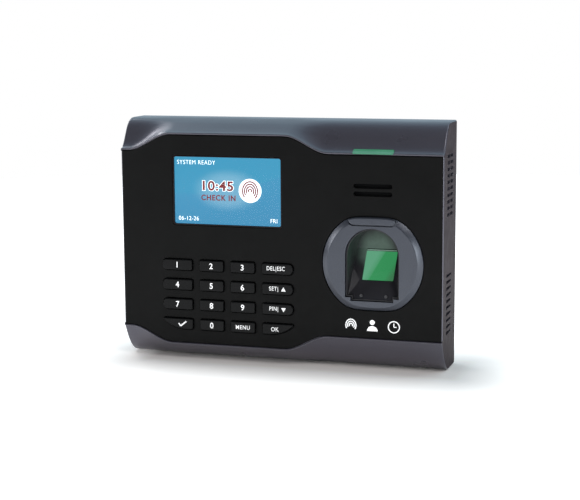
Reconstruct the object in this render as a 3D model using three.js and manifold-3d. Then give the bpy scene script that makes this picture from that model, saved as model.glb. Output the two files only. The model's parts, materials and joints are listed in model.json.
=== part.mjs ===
// Wall-mounted fingerprint terminal: colour display, sixteen-key pad, speaker and optical sensor.
// Units are millimetres. +Z is up, the front faces -Y and the origin is the middle of the base.
// Inside the functions, depth is measured back (+Y) from the front plane of the black fascia.
import * as THREE from "three";
import { mergeVertices } from "three/addons/utils/BufferGeometryUtils.js";
import Module from "manifold-3d";

const wasm = await Module();
wasm.setup();

// ---------------------------------------------------------------- driving dimensions

const GAP = 0.3; // clearance between neighbouring pieces

const WIDTH = 192.6;
const HEIGHT = 141;
const HOUSING_DEPTH = 33.8;
const WALL = 2.2;
const FRONT_WALL = 1.8;
const END_CHAMFER = 1.2;

const FASCIA_THICKNESS = 2.0;
const FASCIA_RIM = 0.6; // housing edge that shows beside the fascia
const LIP_PROUD = 0.6; // how far the painted lips stand in front of the fascia
const CAP_RISE = 18; // height of the end wings above the fascia
const FOOT_RISE = 18.9; // height of the end wings below the fascia
const CREST_RISE = 9.5; // how far the upper edge rises over the display
const CREST_DROP = 9.1; // how far the lower edge drops under the keypad
const WAVE_LENGTH = 26; // length of each S-shaped step in those edges
const CREST_HALF = 47.8; // from the display's centre line to the middle of a step

const DISPLAY_X = -30.7;
const DISPLAY_FROM_TOP = 40.9;
const DISPLAY_WIDTH = 65.4;
const DISPLAY_HEIGHT = 39.2;
const DISPLAY_BORDER = 0.8;
const DISPLAY_CORNER = 1.8;
const LENS_RECESS = 0.3;
const LCD_MARGIN = 4.5; // metal frame beyond the picture, on each side
const LCD_DEPTH = 4.6;
const LCD_SHEET = 0.5;
const LCD_GLASS = 1.4;

const KEY_HEIGHT = 6.3;
const KEY_WIDTH = 14.6;
const END_KEY_WIDTH = 18.4;
const KEY_PITCH_X = 19.2;
const END_PITCH_X = 21.2;
const KEY_PITCH_Z = 11.7;
const TOP_ROW_Z = 56.4;
const KEY_PROUD = 1.4;
const KEY_BEVEL = 0.5;
const KEY_TRAVEL = 1.0;
const KEY_FLANGE = 0.9; // how far a flange reaches under the fascia
const KEY_FLANGE_THICKNESS = 1.0;
const KEY_STEM_RADIUS = 1.8;
const KEY_STEM_LENGTH = 2.6;
const KEY_CORNER = 1.0;
const END_KEY_CORNER = 2.7;
const MEMBRANE = 0.9;
const BOARD = 1.6;
const KEYPAD_MARGIN = 3.2; // keypad board beyond the outermost keys

const SENSOR_X = 56;
const BEZEL_Z = 61.7;
const BEZEL_RADIUS = 29.2;
const BEZEL_FLAT = 26.6; // half height between the bezel's flattened edges
const BEZEL_BAND = 3.4; // width of the sloping band
const BEZEL_PROUD = 1.6;
const BEZEL_FLANGE = 1.4;
const BROW_WIDTH = 27.4;
const BROW_Z = 84.4;
const BROW_PROUD = 0.6;
const ARCH_WIDTH = 31.2;
const ARCH_TOP = 81.8;
const ARCH_BOTTOM = 42.4;
const ARCH_TAB = 24.9;
const ARCH_TAB_DROP = 2.0;
const CUP_WALL = 1.3;
const CUP_RECESS = 0.9; // edge of the cup behind the face of the bezel
const CUP_BACK = 22.8; // depth of the finger recess
const WINDOW_WIDTH = 18;
const WINDOW_LENGTH = 20;
const WINDOW_TILT = THREE.MathUtils.degToRad(35); // away from upright
const WINDOW_DEPTH = 11; // depth of the window's lower edge
const WINDOW_Z = 50.3;
const RAMP_DEPTH = 1.2;
const CUP_SCREW_RADIUS = 0.9;
const CUP_SCREW_SHANK = 0.6;
const CUP_SCREW_Z = 43;
const CUP_SCREW_SEAT = 3.1; // depth of the face under a head
const CUP_SCREW_SPREAD = 14.4;
const CUP_SCREW_LENGTH = 5;
const CAMERA_RADIUS = 3.5;
const CAMERA_Z = 59.7;

const LIGHT_WIDTH = 23.4;
const LIGHT_HEIGHT = 2.5;
const LIGHT_LIFT = 0.4; // above the edge of the fascia
const LIGHT_BACK = 9;

const SLOT_WIDTH = 22.2;
const SLOT_HEIGHT = 2.4;
const SLOT_PITCH = 4.4;
const SPEAKER_Z = 103.3;
const SPEAKER_RADIUS = 14;
const SPEAKER_OPENING = 12;
const SPEAKER_DEPTH = 3.6;
const MAGNET_RADIUS = 8;
const MAGNET_DEPTH = 4;

const VENT_COUNT = 10;
const VENT_PITCH = 3.64;
const VENT_HEIGHT = 1.9;
const VENT_START = 9.4;
const VENT_LENGTH = 15.4;
const VENT_RIB = 1.2;
const LOW_VENT_LENGTH = 12.4;
const UPPER_VENT_TOP = 123.1;
const LOWER_VENT_TOP = 55.8;

const COVER = 2.2;
const BAY_X = -10; // cable bay in the back
const BAY_Z = 67;
const BAY_WIDTH = 80;
const BAY_HEIGHT = 34;
const BAY_FLOOR = 20.8;
const BAY_WALL = 1.6;

const BOSS_RADIUS = 3.6;
const BOSS_START = 14;
const BOSS_INSET = 5.4;
const BOSS_LOW_Z = 13.6;
const BOSS_HIGH_Z = 131.5;
const SCREW_RADIUS = 1.5;
const SCREW_HEAD = 2.8;
const SCREW_HEAD_HEIGHT = 1.8;
const SCREW_LENGTH = 10;
const COUNTERBORE = 1.0;

const PLATE_SHEET = 1.2;
const PLATE_RIM = 2.9; // depth of the wall plate's turned rim
const PLATE_INSET = 0.8;
const PLATE_BOTTOM = 8.7;
const PLATE_CORNER = 3;
const WINDOW_MARGIN = 2;
const KEYHOLE_RADIUS = 4.5;
const KEYHOLE_SLOT = 2.3;
const KEYHOLE_LENGTH = 8;
const KEYHOLE_X = 75;
const KEYHOLE_Z = [32, 112];
const HOOK_X = 58;
const HOOK_Z = [26, 120];
const HOOK_WIDTH = 10;
const HOOK_RISE = 4;
const TAB_WIDTH = 24;
const TAB_REACH = 22; // depth of the locking tab's front edge
const LOCK_DEPTH = 26;
const LOCK_RADIUS = 1.8;
const LOCK_HEAD = 3.2;
const LOCK_LENGTH = 12;

const BOARD_DEPTH = 15; // depth of the main board's front face
const BOARD_LEFT = -84;
const BOARD_RIGHT = 31;
const BOARD_BOTTOM = 22;
const BOARD_TOP = 116;
const POST_RADIUS = 3;
const POST_INSET = 4;
const STAKE_RADIUS = 1.2;

const SOCKET_X = -4;
const SOCKET_WIDTH = 16;
const SOCKET_DEPTH = 14;
const SOCKET_LENGTH = 21;
const SOCKET_MOUTH_WIDTH = 11.8;
const SOCKET_MOUTH_DEPTH = 8.2;
const SOCKET_MOUTH_LENGTH = 13;
const JACK_X = -29;
const JACK_WIDTH = 9.6;
const JACK_DEPTH = 12;
const JACK_LENGTH = 14;
const JACK_BORE = 3.2;
const JACK_BORE_LENGTH = 9.5;
const JACK_PIN = 1.0;

const TAMPER_X = -70;
const TAMPER_Z = 70;
const TAMPER_BODY = 7;
const TAMPER_RADIUS = 2;
const TAMPER_COLLAR = 3;
const TAMPER_TRAVEL = 1.5;

const CELL_X = -60;
const CELL_Z = 102;
const CELL_RADIUS = 8;
const CELL_THICKNESS = 1.8;

// ---------------------------------------------------------------- values that follow

const FASCIA_TOP = HEIGHT - CAP_RISE;
const HALF = WIDTH / 2;
const DISPLAY_Z = HEIGHT - DISPLAY_FROM_TOP;
const FRONT_FACE = FASCIA_THICKNESS + GAP;
const FRONT_BACK = FRONT_FACE + FRONT_WALL;
const COVER_FRONT = HOUSING_DEPTH - COVER;
const PLATE_FRONT = HOUSING_DEPTH + GAP;
const WALL_PLANE = PLATE_FRONT + PLATE_RIM;
const SHEET_FRONT = WALL_PLANE - PLATE_SHEET;
const FRONTMOST = BEZEL_PROUD + BROW_PROUD;
const KEY_BACK = FRONT_FACE + KEY_FLANGE_THICKNESS;
const MEMBRANE_FRONT = Math.max(KEY_BACK + KEY_TRAVEL, FRONT_BACK) + GAP;
const KEYPAD_FRONT = KEY_BACK + KEY_STEM_LENGTH + KEY_TRAVEL + GAP;
const BOARD_BACK = BOARD_DEPTH + BOARD;
const BEHIND_BOARD = BOARD_BACK + GAP;
const ARCH_RADIUS = ARCH_WIDTH / 2;
const ARCH_CENTRE = ARCH_TOP - ARCH_RADIUS;
const CUP_FRONT = CUP_RECESS - BEZEL_PROUD;
const CUP_REAR = CUP_BACK + CUP_WALL;
const BAY_TOP = BAY_Z + BAY_HEIGHT / 2;
const BAY_BOTTOM = BAY_Z - BAY_HEIGHT / 2;
const ABOVE_BAY = BAY_TOP + BAY_WALL + GAP;
const MOUTH_DEPTH = BAY_FLOOR + GAP + SOCKET_MOUTH_DEPTH / 2;
const BORE_DEPTH = BAY_FLOOR + GAP + JACK_BORE;
const FRAME_FRONT = FRONT_BACK + GAP;
const WINDOW_TOP_DEPTH = WINDOW_DEPTH + WINDOW_LENGTH * Math.sin(WINDOW_TILT);
const WINDOW_TOP_Z = WINDOW_Z + WINDOW_LENGTH * Math.cos(WINDOW_TILT);
const ROWS = [0, 1, 2, 3].map((row) => TOP_ROW_Z - row * KEY_PITCH_Z);
const COLUMNS = [
  DISPLAY_X - KEY_PITCH_X / 2 - END_PITCH_X,
  DISPLAY_X - KEY_PITCH_X / 2,
  DISPLAY_X + KEY_PITCH_X / 2,
  DISPLAY_X + KEY_PITCH_X / 2 + END_PITCH_X,
];

const PAINT = { color: 0x63676f, roughness: 0.4, metalness: 0.5 };
const BLACK = { color: 0x202022, roughness: 0.35, metalness: 0 };
const KEYCAP = { color: 0x2b2b2d, roughness: 0.5, metalness: 0 };
const SENSOR_GREY = { color: 0x5a5d66, roughness: 0.4, metalness: 0.3 };
const DARK = { color: 0x2d2c2f, roughness: 0.6, metalness: 0 };
const GLOW = { color: 0x338950, roughness: 0.1, metalness: 0 };
const SCREEN = { color: 0x54a6c9, roughness: 0.1, metalness: 0 };
const STEEL = { color: 0xa8abb0, roughness: 0.35, metalness: 0.9 };
const PCB = { color: 0x1f5a36, roughness: 0.6, metalness: 0 };
const CHIP = { color: 0x18181a, roughness: 0.6, metalness: 0 };
const WHITE = { color: 0xe8e8e4, roughness: 0.5, metalness: 0 };
const SILICONE = { color: 0x4a4b50, roughness: 0.8, metalness: 0 };
const FLEX = { color: 0xa8702a, roughness: 0.5, metalness: 0 };

// ---------------------------------------------------------------- solids

function solid(geometry) {
  const plain = geometry.clone();
  plain.deleteAttribute("normal");
  plain.deleteAttribute("uv");
  const merged = mergeVertices(plain, 1e-4);
  const place = merged.attributes.position;
  const corners = merged.index.array;
  const kept = [];
  let volume = 0;
  const a = new THREE.Vector3();
  const b = new THREE.Vector3();
  const c = new THREE.Vector3();
  for (let i = 0; i < corners.length; i += 3) {
    const [p, q, r] = [corners[i], corners[i + 1], corners[i + 2]];
    if (p === q || q === r || r === p) continue;
    kept.push([p, q, r]);
    a.fromBufferAttribute(place, p);
    b.fromBufferAttribute(place, q);
    c.fromBufferAttribute(place, r);
    volume += a.dot(b.cross(c)) / 6;
  }
  const facing = volume < 0 ? kept.map(([p, q, r]) => [p, r, q]) : kept;
  return new wasm.Manifold(
    new wasm.Mesh({
      numProp: 3,
      vertProperties: new Float32Array(place.array),
      triVerts: new Uint32Array(facing.flat()),
    }),
  );
}

function join(bodies) {
  return bodies.reduce((whole, body) => whole.add(body));
}

function piece(name, body, look) {
  const data = body.getMesh();
  const geometry = new THREE.BufferGeometry();
  geometry.setAttribute("position", new THREE.BufferAttribute(new Float32Array(data.vertProperties), 3));
  geometry.setIndex(new THREE.BufferAttribute(new Uint32Array(data.triVerts), 1));
  geometry.computeVertexNormals();
  const mesh = new THREE.Mesh(geometry, new THREE.MeshStandardMaterial(look));
  mesh.name = name;
  return mesh;
}

function box(x0, x1, d0, d1, z0, z1) {
  const geometry = new THREE.BoxGeometry(x1 - x0, d1 - d0, z1 - z0);
  geometry.translate((x0 + x1) / 2, (d0 + d1) / 2, (z0 + z1) / 2);
  return solid(geometry);
}

// a cylinder running front to back
function rod(x, z, radius, d0, d1, sides = 16) {
  const geometry = new THREE.CylinderGeometry(radius, radius, d1 - d0, sides);
  geometry.translate(x, (d0 + d1) / 2, z);
  return solid(geometry);
}

// a cylinder standing upright
function post(x, depth, radius, z0, z1, sides = 16) {
  const geometry = new THREE.CylinderGeometry(radius, radius, z1 - z0, sides);
  geometry.rotateX(Math.PI / 2);
  geometry.translate(x, depth, (z0 + z1) / 2);
  return solid(geometry);
}

// a (radius, depth) profile turned about a front-to-back axis
function turned(profile, x, z, sides = 24) {
  const points = profile.map(([radius, depth]) => new THREE.Vector2(radius, depth));
  const geometry = new THREE.LatheGeometry(points, sides);
  geometry.translate(x, 0, z);
  return solid(geometry);
}

// an outline drawn in the front view and given a thickness
function plate(outline, d0, d1, holes = []) {
  const shape = new THREE.Shape(outline);
  shape.holes = holes.map((hole) => new THREE.Path(hole));
  const geometry = new THREE.ExtrudeGeometry(shape, { depth: d1 - d0, bevelEnabled: false });
  geometry.rotateX(Math.PI / 2);
  geometry.translate(0, d1, 0);
  return solid(geometry);
}

// an outline drawn as (depth, height) and given a width
function slab(profile, x0, x1) {
  const shape = new THREE.Shape(profile.map(([depth, z]) => new THREE.Vector2(depth, z)));
  const geometry = new THREE.ExtrudeGeometry(shape, { depth: x1 - x0, bevelEnabled: false });
  const turn = new THREE.Matrix4().makeBasis(
    new THREE.Vector3(0, 1, 0),
    new THREE.Vector3(0, 0, 1),
    new THREE.Vector3(1, 0, 0),
  );
  geometry.applyMatrix4(turn);
  geometry.translate(x0, 0, 0);
  return solid(geometry);
}

function sweep(points, radius, steps) {
  const path = new THREE.CatmullRomCurve3(points.map((p) => new THREE.Vector3(...p)));
  const shape = new THREE.Shape();
  shape.absarc(0, 0, radius, 0, Math.PI * 2, false);
  const options = { extrudePath: path, steps, curveSegments: 3, bevelEnabled: false };
  return solid(new THREE.ExtrudeGeometry(shape, options));
}

function signedArea(points) {
  return THREE.ShapeUtils.area(points);
}

// a closed skin through rings of equal length; flat() turns a ring's point into its own plane
function loft(rings, flat) {
  const count = rings[0].length;
  const faces = [];
  for (let r = 0; r + 1 < rings.length; r++) {
    for (let i = 0; i < count; i++) {
      const a = r * count + i;
      const b = r * count + ((i + 1) % count);
      faces.push([a, b, b + count], [a, b + count, a + count]);
    }
  }
  for (const end of [0, rings.length - 1]) {
    const contour = rings[end].map(flat);
    const along = signedArea(contour) > 0 === (end > 0);
    for (const [p, q, r] of THREE.ShapeUtils.triangulateShape(contour, [])) {
      const up = signedArea([contour[p], contour[q], contour[r]]) > 0;
      const face = up === along ? [p, q, r] : [p, r, q];
      faces.push(face.map((i) => i + end * count));
    }
  }
  const geometry = new THREE.BufferGeometry();
  geometry.setAttribute(
    "position",
    new THREE.Float32BufferAttribute(rings.flat().flatMap((p) => p.toArray()), 3),
  );
  geometry.setIndex(faces.flat());
  return solid(geometry);
}

// ---------------------------------------------------------------- outlines in the front view

// corners holds the radii of the lower left, lower right, upper right and upper left corners
function roundedBox(x0, x1, z0, z1, corners, steps = 3) {
  const spots = [
    [x0, z0, 1, 1],
    [x1, z0, -1, 1],
    [x1, z1, -1, -1],
    [x0, z1, 1, -1],
  ];
  const points = [];
  spots.forEach(([x, z, right, up], corner) => {
    const radius = corners[corner];
    const start = Math.PI + (corner * Math.PI) / 2;
    for (let i = 0; i <= steps; i++) {
      const angle = start + (i * Math.PI) / 2 / steps;
      points.push(
        new THREE.Vector2(
          x + right * radius + radius * Math.cos(angle),
          z + up * radius + radius * Math.sin(angle),
        ),
      );
    }
  });
  return points;
}

function evenBox(x, z, width, height, radius, steps = 3) {
  const corners = [radius, radius, radius, radius];
  return roundedBox(x - width / 2, x + width / 2, z - height / 2, z + height / 2, corners, steps);
}

// an anticlockwise outline moved outwards by an amount
function grown(points, amount) {
  return points.map((point, i) => {
    const before = points[(i + points.length - 1) % points.length];
    const after = points[(i + 1) % points.length];
    const one = new THREE.Vector2(point.y - before.y, before.x - point.x).normalize();
    const two = new THREE.Vector2(after.y - point.y, point.x - after.x).normalize();
    const reach = amount / Math.max(0.35, 1 + one.dot(two));
    return new THREE.Vector2(point.x + (one.x + two.x) * reach, point.y + (one.y + two.y) * reach);
  });
}

function easeStep(t) {
  const u = THREE.MathUtils.clamp(t, 0, 1);
  return u * u * (3 - 2 * u);
}

// 0 at the wings, 1 over the display and keypad
function wave(x) {
  const left = easeStep((x - (DISPLAY_X - CREST_HALF - WAVE_LENGTH / 2)) / WAVE_LENGTH);
  const right = easeStep((x - (DISPLAY_X + CREST_HALF - WAVE_LENGTH / 2)) / WAVE_LENGTH);
  return left - right;
}

function upperEdge(x) {
  return FASCIA_TOP + CREST_RISE * wave(x);
}

function lowerEdge(x) {
  return FOOT_RISE - CREST_DROP * wave(x);
}

// x positions dense enough to draw both S-shaped steps
function stations(limit, perWave) {
  const places = [-limit, limit];
  for (const centre of [DISPLAY_X - CREST_HALF, DISPLAY_X + CREST_HALF]) {
    for (let i = 0; i <= perWave; i++) {
      places.push(centre + WAVE_LENGTH * (i / perWave - 0.5));
    }
  }
  return places.filter((x) => Math.abs(x) <= limit).sort((a, b) => a - b);
}

function fasciaOutline(shrink, half) {
  const places = stations(half, 10);
  const lower = places.map((x) => new THREE.Vector2(x, lowerEdge(x) + shrink));
  const upper = places.map((x) => new THREE.Vector2(x, upperEdge(x) - shrink));
  return [...lower, ...upper.reverse()];
}

// a circle flattened above and below
function bezelOutline(radius, flat, sides = 48) {
  const points = [];
  for (let i = 0; i < sides; i++) {
    const angle = ((i + 0.5) / sides) * Math.PI * 2;
    const reach = Math.pow(radius, -24) + Math.pow(Math.abs(Math.sin(angle)) / flat, 24);
    const r = Math.pow(reach, -1 / 24);
    points.push(new THREE.Vector2(SENSOR_X + r * Math.cos(angle), BEZEL_Z + r * Math.sin(angle)));
  }
  return points;
}

function archOutline(shrink, steps = 14) {
  const half = ARCH_RADIUS - shrink;
  const tab = ARCH_TAB / 2 - shrink;
  const points = [
    [-tab, ARCH_BOTTOM - ARCH_TAB_DROP + shrink],
    [tab, ARCH_BOTTOM - ARCH_TAB_DROP + shrink],
    [tab, ARCH_BOTTOM + shrink],
    [half, ARCH_BOTTOM + shrink],
  ];
  for (let i = 0; i <= steps; i++) {
    const angle = (i / steps) * Math.PI;
    points.push([half * Math.cos(angle), ARCH_CENTRE + half * Math.sin(angle)]);
  }
  points.push([-half, ARCH_BOTTOM + shrink], [-tab, ARCH_BOTTOM + shrink]);
  return points.map(([x, z]) => new THREE.Vector2(SENSOR_X + x, z));
}

// column 0 is the leftmost; the outer keys of the lowest row taper to a point like a leaf
function keyOutline(column, row) {
  const x = COLUMNS[column];
  const z = ROWS[row];
  const outer = column === 0 ? -1 : 1;
  if (column === 1 || column === 2) return evenBox(x, z, KEY_WIDTH, KEY_HEIGHT, KEY_CORNER, 2);
  const half = END_KEY_WIDTH / 2;
  if (row < 3) {
    const left = outer < 0 ? END_KEY_CORNER : KEY_CORNER;
    const right = outer > 0 ? END_KEY_CORNER : KEY_CORNER;
    const corners = [left, right, right, left];
    return roundedBox(x - half, x + half, z - KEY_HEIGHT / 2, z + KEY_HEIGHT / 2, corners, 2);
  }
  const high = z + KEY_HEIGHT / 2;
  const low = z - KEY_HEIGHT / 2;
  const curve = new THREE.QuadraticBezierCurve(
    new THREE.Vector2(-half + 5, low),
    new THREE.Vector2(half * 0.42, low + 0.4),
    new THREE.Vector2(half - 0.2, high - 1.2),
  );
  const points = [
    new THREE.Vector2(-half, low + 0.8),
    new THREE.Vector2(-half + 0.8, low),
    ...curve.getPoints(7),
    new THREE.Vector2(half, high - 0.6),
    new THREE.Vector2(half - 0.6, high),
    new THREE.Vector2(-half + 0.8, high),
    new THREE.Vector2(-half, high - 0.8),
  ];
  const placed = points.map((p) => new THREE.Vector2(x + outer * p.x, p.y));
  return outer < 0 ? placed.reverse() : placed;
}

// ---------------------------------------------------------------- housing

// (depth, height) from the lip back over the top, blended between wing and crest
function capProfile(x) {
  const wing = [
    [-LIP_PROUD, FASCIA_TOP + 0.1],
    [-LIP_PROUD, FASCIA_TOP + 0.8],
    [1.2, FASCIA_TOP + 1.9],
    [3.6, FASCIA_TOP + 4.6],
    [6.2, FASCIA_TOP + 8.6],
    [8.6, FASCIA_TOP + 12.4],
    [11.4, FASCIA_TOP + 15.4],
    [15, HEIGHT - 0.8],
    [20, HEIGHT],
  ];
  const crest = [
    [-LIP_PROUD, FASCIA_TOP + CREST_RISE + 0.1],
    [-LIP_PROUD, FASCIA_TOP + CREST_RISE + 0.8],
    [2, HEIGHT - 6.8],
    [5, HEIGHT - 5.4],
    [8, HEIGHT - 3.8],
    [11, HEIGHT - 2.3],
    [14, HEIGHT - 1.2],
    [17, HEIGHT - 0.5],
    [20, HEIGHT],
  ];
  const s = wave(x);
  const blend = wing.map(([d, z], i) => [
    THREE.MathUtils.lerp(d, crest[i][0], s),
    THREE.MathUtils.lerp(z, crest[i][1], s),
  ]);
  return [...blend, [HOUSING_DEPTH, HEIGHT]];
}

// (depth, height) from the flat base forward and up to the lower lip
function footProfile(x) {
  const wing = [
    [18, 0],
    [14, 1],
    [9.5, 4],
    [5.8, 8.2],
    [2.5, 13.2],
    [-LIP_PROUD, FOOT_RISE - 0.8],
  ];
  const drop = CREST_DROP * wave(x);
  const blend = wing.map(([d, z]) => [d, z * (1 - drop / FOOT_RISE)]);
  return [[HOUSING_DEPTH, 0], ...blend, [-LIP_PROUD, lowerEdge(x) - 0.1]];
}

function heightAt(profile, depth) {
  for (let i = 1; i < profile.length; i++) {
    const [d0, z0] = profile[i - 1];
    const [d1, z1] = profile[i];
    const low = Math.min(d0, d1);
    const high = Math.max(d0, d1);
    if (high > low && depth >= low && depth <= high) {
      return THREE.MathUtils.lerp(z0, z1, (depth - d0) / (d1 - d0));
    }
  }
  return profile[profile.length - 1][1];
}

function housingRing(x, inset) {
  const front = 0.4;
  const profile = [
    ...footProfile(x),
    [front, lowerEdge(x) - 0.1],
    [front, upperEdge(x) + 0.1],
    ...capProfile(x),
  ];
  return profile.map(([d, z]) => {
    const away = THREE.MathUtils.clamp((z - HEIGHT / 2) / (HEIGHT / 3), -1, 1);
    const depth = d + inset * 0.8 * (1 - Math.max(d, 0) / HOUSING_DEPTH);
    return new THREE.Vector3(x, depth, z - inset * away);
  });
}

function housingSkin() {
  const full = stations(HALF - END_CHAMFER, 12).map((x) => housingRing(x, 0));
  const first = housingRing(-HALF, END_CHAMFER);
  const last = housingRing(HALF, END_CHAMFER);
  return loft([first, ...full, last], (p) => new THREE.Vector2(p.y, p.z));
}

function cavity() {
  const depths = [FRONT_BACK, 6, 8, 10.6, 13.4, 17, 22, HOUSING_DEPTH + 1];
  const rings = stations(HALF - WALL, 8).map((x) => {
    const roof = capProfile(x).slice(1);
    const floor = footProfile(x).slice(0, -1).reverse();
    const above = depths.map((d) => [d, heightAt(roof, Math.min(d, HOUSING_DEPTH) - 2) - WALL]);
    const below = depths.map((d) => [d, heightAt(floor, Math.min(d, HOUSING_DEPTH) - 2) + WALL]);
    return [...above.reverse(), ...below].map(([d, z]) => new THREE.Vector3(x, d, z));
  });
  return loft(rings, (p) => new THREE.Vector2(p.y, p.z));
}

function bossPlaces() {
  const side = HALF - BOSS_INSET;
  return [
    [-side, BOSS_LOW_Z],
    [side, BOSS_LOW_Z],
    [side, BOSS_HIGH_Z],
    [-side, BOSS_HIGH_Z],
  ];
}

function postPlaces() {
  const left = BOARD_LEFT + POST_INSET;
  const right = BOARD_RIGHT - POST_INSET;
  const low = BOARD_BOTTOM + POST_INSET;
  const high = BOARD_TOP - POST_INSET;
  return [
    [left, low],
    [right, low],
    [right, high],
    [left, high],
  ];
}

function ventCutters(side) {
  const x0 = side > 0 ? HALF - WALL - 0.6 : -HALF - 1;
  const x1 = side > 0 ? HALF + 1 : -HALF + WALL + 0.6;
  const cutters = [];
  const half = VENT_HEIGHT / 2;
  const middle = VENT_START + VENT_LENGTH / 2;
  for (let i = 0; i < VENT_COUNT; i++) {
    const high = UPPER_VENT_TOP - half - i * VENT_PITCH;
    cutters.push(box(x0, x1, VENT_START, middle - VENT_RIB / 2, high - half, high + half));
    cutters.push(
      box(x0, x1, middle + VENT_RIB / 2, VENT_START + VENT_LENGTH, high - half, high + half),
    );
    const low = LOWER_VENT_TOP - half - i * VENT_PITCH;
    const wedge = [
      [VENT_START, low - half],
      [VENT_START + LOW_VENT_LENGTH, low - half + 0.5],
      [VENT_START + LOW_VENT_LENGTH, low + half - 0.3],
      [VENT_START, low + half],
    ];
    cutters.push(slab(wedge, x0, x1));
  }
  return cutters;
}

function lightOutline(grow) {
  const z = FASCIA_TOP + LIGHT_LIFT + LIGHT_HEIGHT / 2;
  return evenBox(SENSOR_X, z, LIGHT_WIDTH + 2 * grow, LIGHT_HEIGHT + 2 * grow, 0.5 + grow, 1);
}

function frontHousing(skin) {
  let body = skin.subtract(cavity());
  const recess = plate(fasciaOutline(0, HALF - FASCIA_RIM), -5, FRONT_FACE);
  body = body.subtract(recess);
  const keyRows = ROWS.map((z) => {
    const reach = KEY_FLANGE + GAP;
    const x0 = COLUMNS[0] - END_KEY_WIDTH / 2 - reach;
    const x1 = COLUMNS[3] + END_KEY_WIDTH / 2 + reach;
    const half = KEY_HEIGHT / 2 + reach;
    return box(x0, x1, 0, FRONT_BACK + 1, z - half, z + half);
  });
  const halfPicture = DISPLAY_WIDTH / 2 + 0.4;
  const halfTall = DISPLAY_HEIGHT / 2 + 0.4;
  const picture = box(
    DISPLAY_X - halfPicture,
    DISPLAY_X + halfPicture,
    0,
    FRONT_BACK + 1,
    DISPLAY_Z - halfTall,
    DISPLAY_Z + halfTall,
  );
  const flange = BEZEL_FLANGE + GAP;
  const sensorHole = plate(
    bezelOutline(BEZEL_RADIUS + flange, BEZEL_FLAT + flange),
    0,
    FRONT_BACK + 1,
  );
  const soundHole = rod(SENSOR_X, SPEAKER_Z, SPEAKER_OPENING, 0, FRONT_BACK + 1, 24);
  const lightHole = plate(lightOutline(GAP), -5, LIGHT_BACK + 5);
  body = body.subtract(join([...keyRows, picture, sensorHole, soundHole, lightHole]));
  body = body.subtract(join([...ventCutters(1), ...ventCutters(-1)]));
  const bosses = bossPlaces().map(([x, z]) =>
    rod(x, z, BOSS_RADIUS, BOSS_START, COVER_FRONT - GAP, 14),
  );
  const posts = postPlaces().map(([x, z]) =>
    rod(x, z, POST_RADIUS, FRONT_BACK - 0.5, BOARD_DEPTH - GAP, 12),
  );
  const stakes = postPlaces().map(([x, z]) =>
    rod(x, z, STAKE_RADIUS, BOARD_DEPTH - 1, BOARD_BACK + 1, 8),
  );
  const lockBoss = post(0, LOCK_DEPTH, 5, WALL - 0.5, 6);
  body = join([body, ...bosses, ...posts, ...stakes, lockBoss]);
  const bores = bossPlaces().map(([x, z]) =>
    rod(x, z, SCREW_RADIUS + GAP, COVER_FRONT - SCREW_LENGTH - 1, COVER_FRONT + 1, 12),
  );
  const lockHole = post(0, LOCK_DEPTH, LOCK_RADIUS + GAP, -1, 8);
  const lockSink = post(0, LOCK_DEPTH, LOCK_HEAD + GAP, -1, 2.6);
  body = body.subtract(join([...bores, lockHole, lockSink]));
  return piece("front_housing", body, PAINT);
}

function fasciaPanel() {
  const holes = [];
  holes.push(
    evenBox(
      DISPLAY_X,
      DISPLAY_Z,
      DISPLAY_WIDTH + 2 * DISPLAY_BORDER,
      DISPLAY_HEIGHT + 2 * DISPLAY_BORDER,
      DISPLAY_CORNER,
    ),
  );
  for (let row = 0; row < 4; row++) {
    for (let column = 0; column < 4; column++) holes.push(grown(keyOutline(column, row), GAP));
  }
  holes.push(bezelOutline(BEZEL_RADIUS + 0.4, BEZEL_FLAT + 0.4));
  for (const side of [-1, 1]) {
    const z = SPEAKER_Z + (side * SLOT_PITCH) / 2;
    holes.push(evenBox(SENSOR_X, z, SLOT_WIDTH, SLOT_HEIGHT, SLOT_HEIGHT / 2 - 0.01, 3));
  }
  const outline = fasciaOutline(GAP, HALF - FASCIA_RIM - GAP);
  return piece("fascia_panel", plate(outline, 0, FASCIA_THICKNESS, holes), BLACK);
}

// ---------------------------------------------------------------- display

function displayLens() {
  const outline = evenBox(
    DISPLAY_X,
    DISPLAY_Z,
    DISPLAY_WIDTH + 2 * DISPLAY_BORDER - 2 * GAP,
    DISPLAY_HEIGHT + 2 * DISPLAY_BORDER - 2 * GAP,
    DISPLAY_CORNER - GAP,
  );
  return piece("display_lens", plate(outline, LENS_RECESS, FASCIA_THICKNESS), SCREEN);
}

function lcdFrame() {
  const width = DISPLAY_WIDTH + 2 * LCD_MARGIN;
  const height = DISPLAY_HEIGHT + 2 * LCD_MARGIN;
  const outer = evenBox(DISPLAY_X, DISPLAY_Z, width, height, 0.8, 1);
  const inner = evenBox(
    DISPLAY_X,
    DISPLAY_Z,
    width - 2 * LCD_SHEET,
    height - 2 * LCD_SHEET,
    0.3,
    1,
  );
  const picture = evenBox(DISPLAY_X, DISPLAY_Z, DISPLAY_WIDTH + 0.4, DISPLAY_HEIGHT + 0.4, 0.3, 1);
  const body = plate(outer, FRAME_FRONT, FRAME_FRONT + LCD_DEPTH)
    .subtract(plate(inner, FRAME_FRONT + LCD_SHEET, FRAME_FRONT + LCD_DEPTH + 1))
    .subtract(plate(picture, FRAME_FRONT - 1, FRAME_FRONT + 1));
  return piece("lcd_frame", body, STEEL);
}

function lcdLayer(name, front, thickness, look) {
  const inset = LCD_SHEET + GAP;
  const outline = evenBox(
    DISPLAY_X,
    DISPLAY_Z,
    DISPLAY_WIDTH + 2 * (LCD_MARGIN - inset),
    DISPLAY_HEIGHT + 2 * (LCD_MARGIN - inset),
    0.3,
    1,
  );
  return piece(name, plate(outline, front, front + thickness), look);
}

function lcdGlass() {
  return lcdLayer("lcd_glass", FRAME_FRONT + LCD_SHEET + GAP, LCD_GLASS, SCREEN);
}

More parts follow.
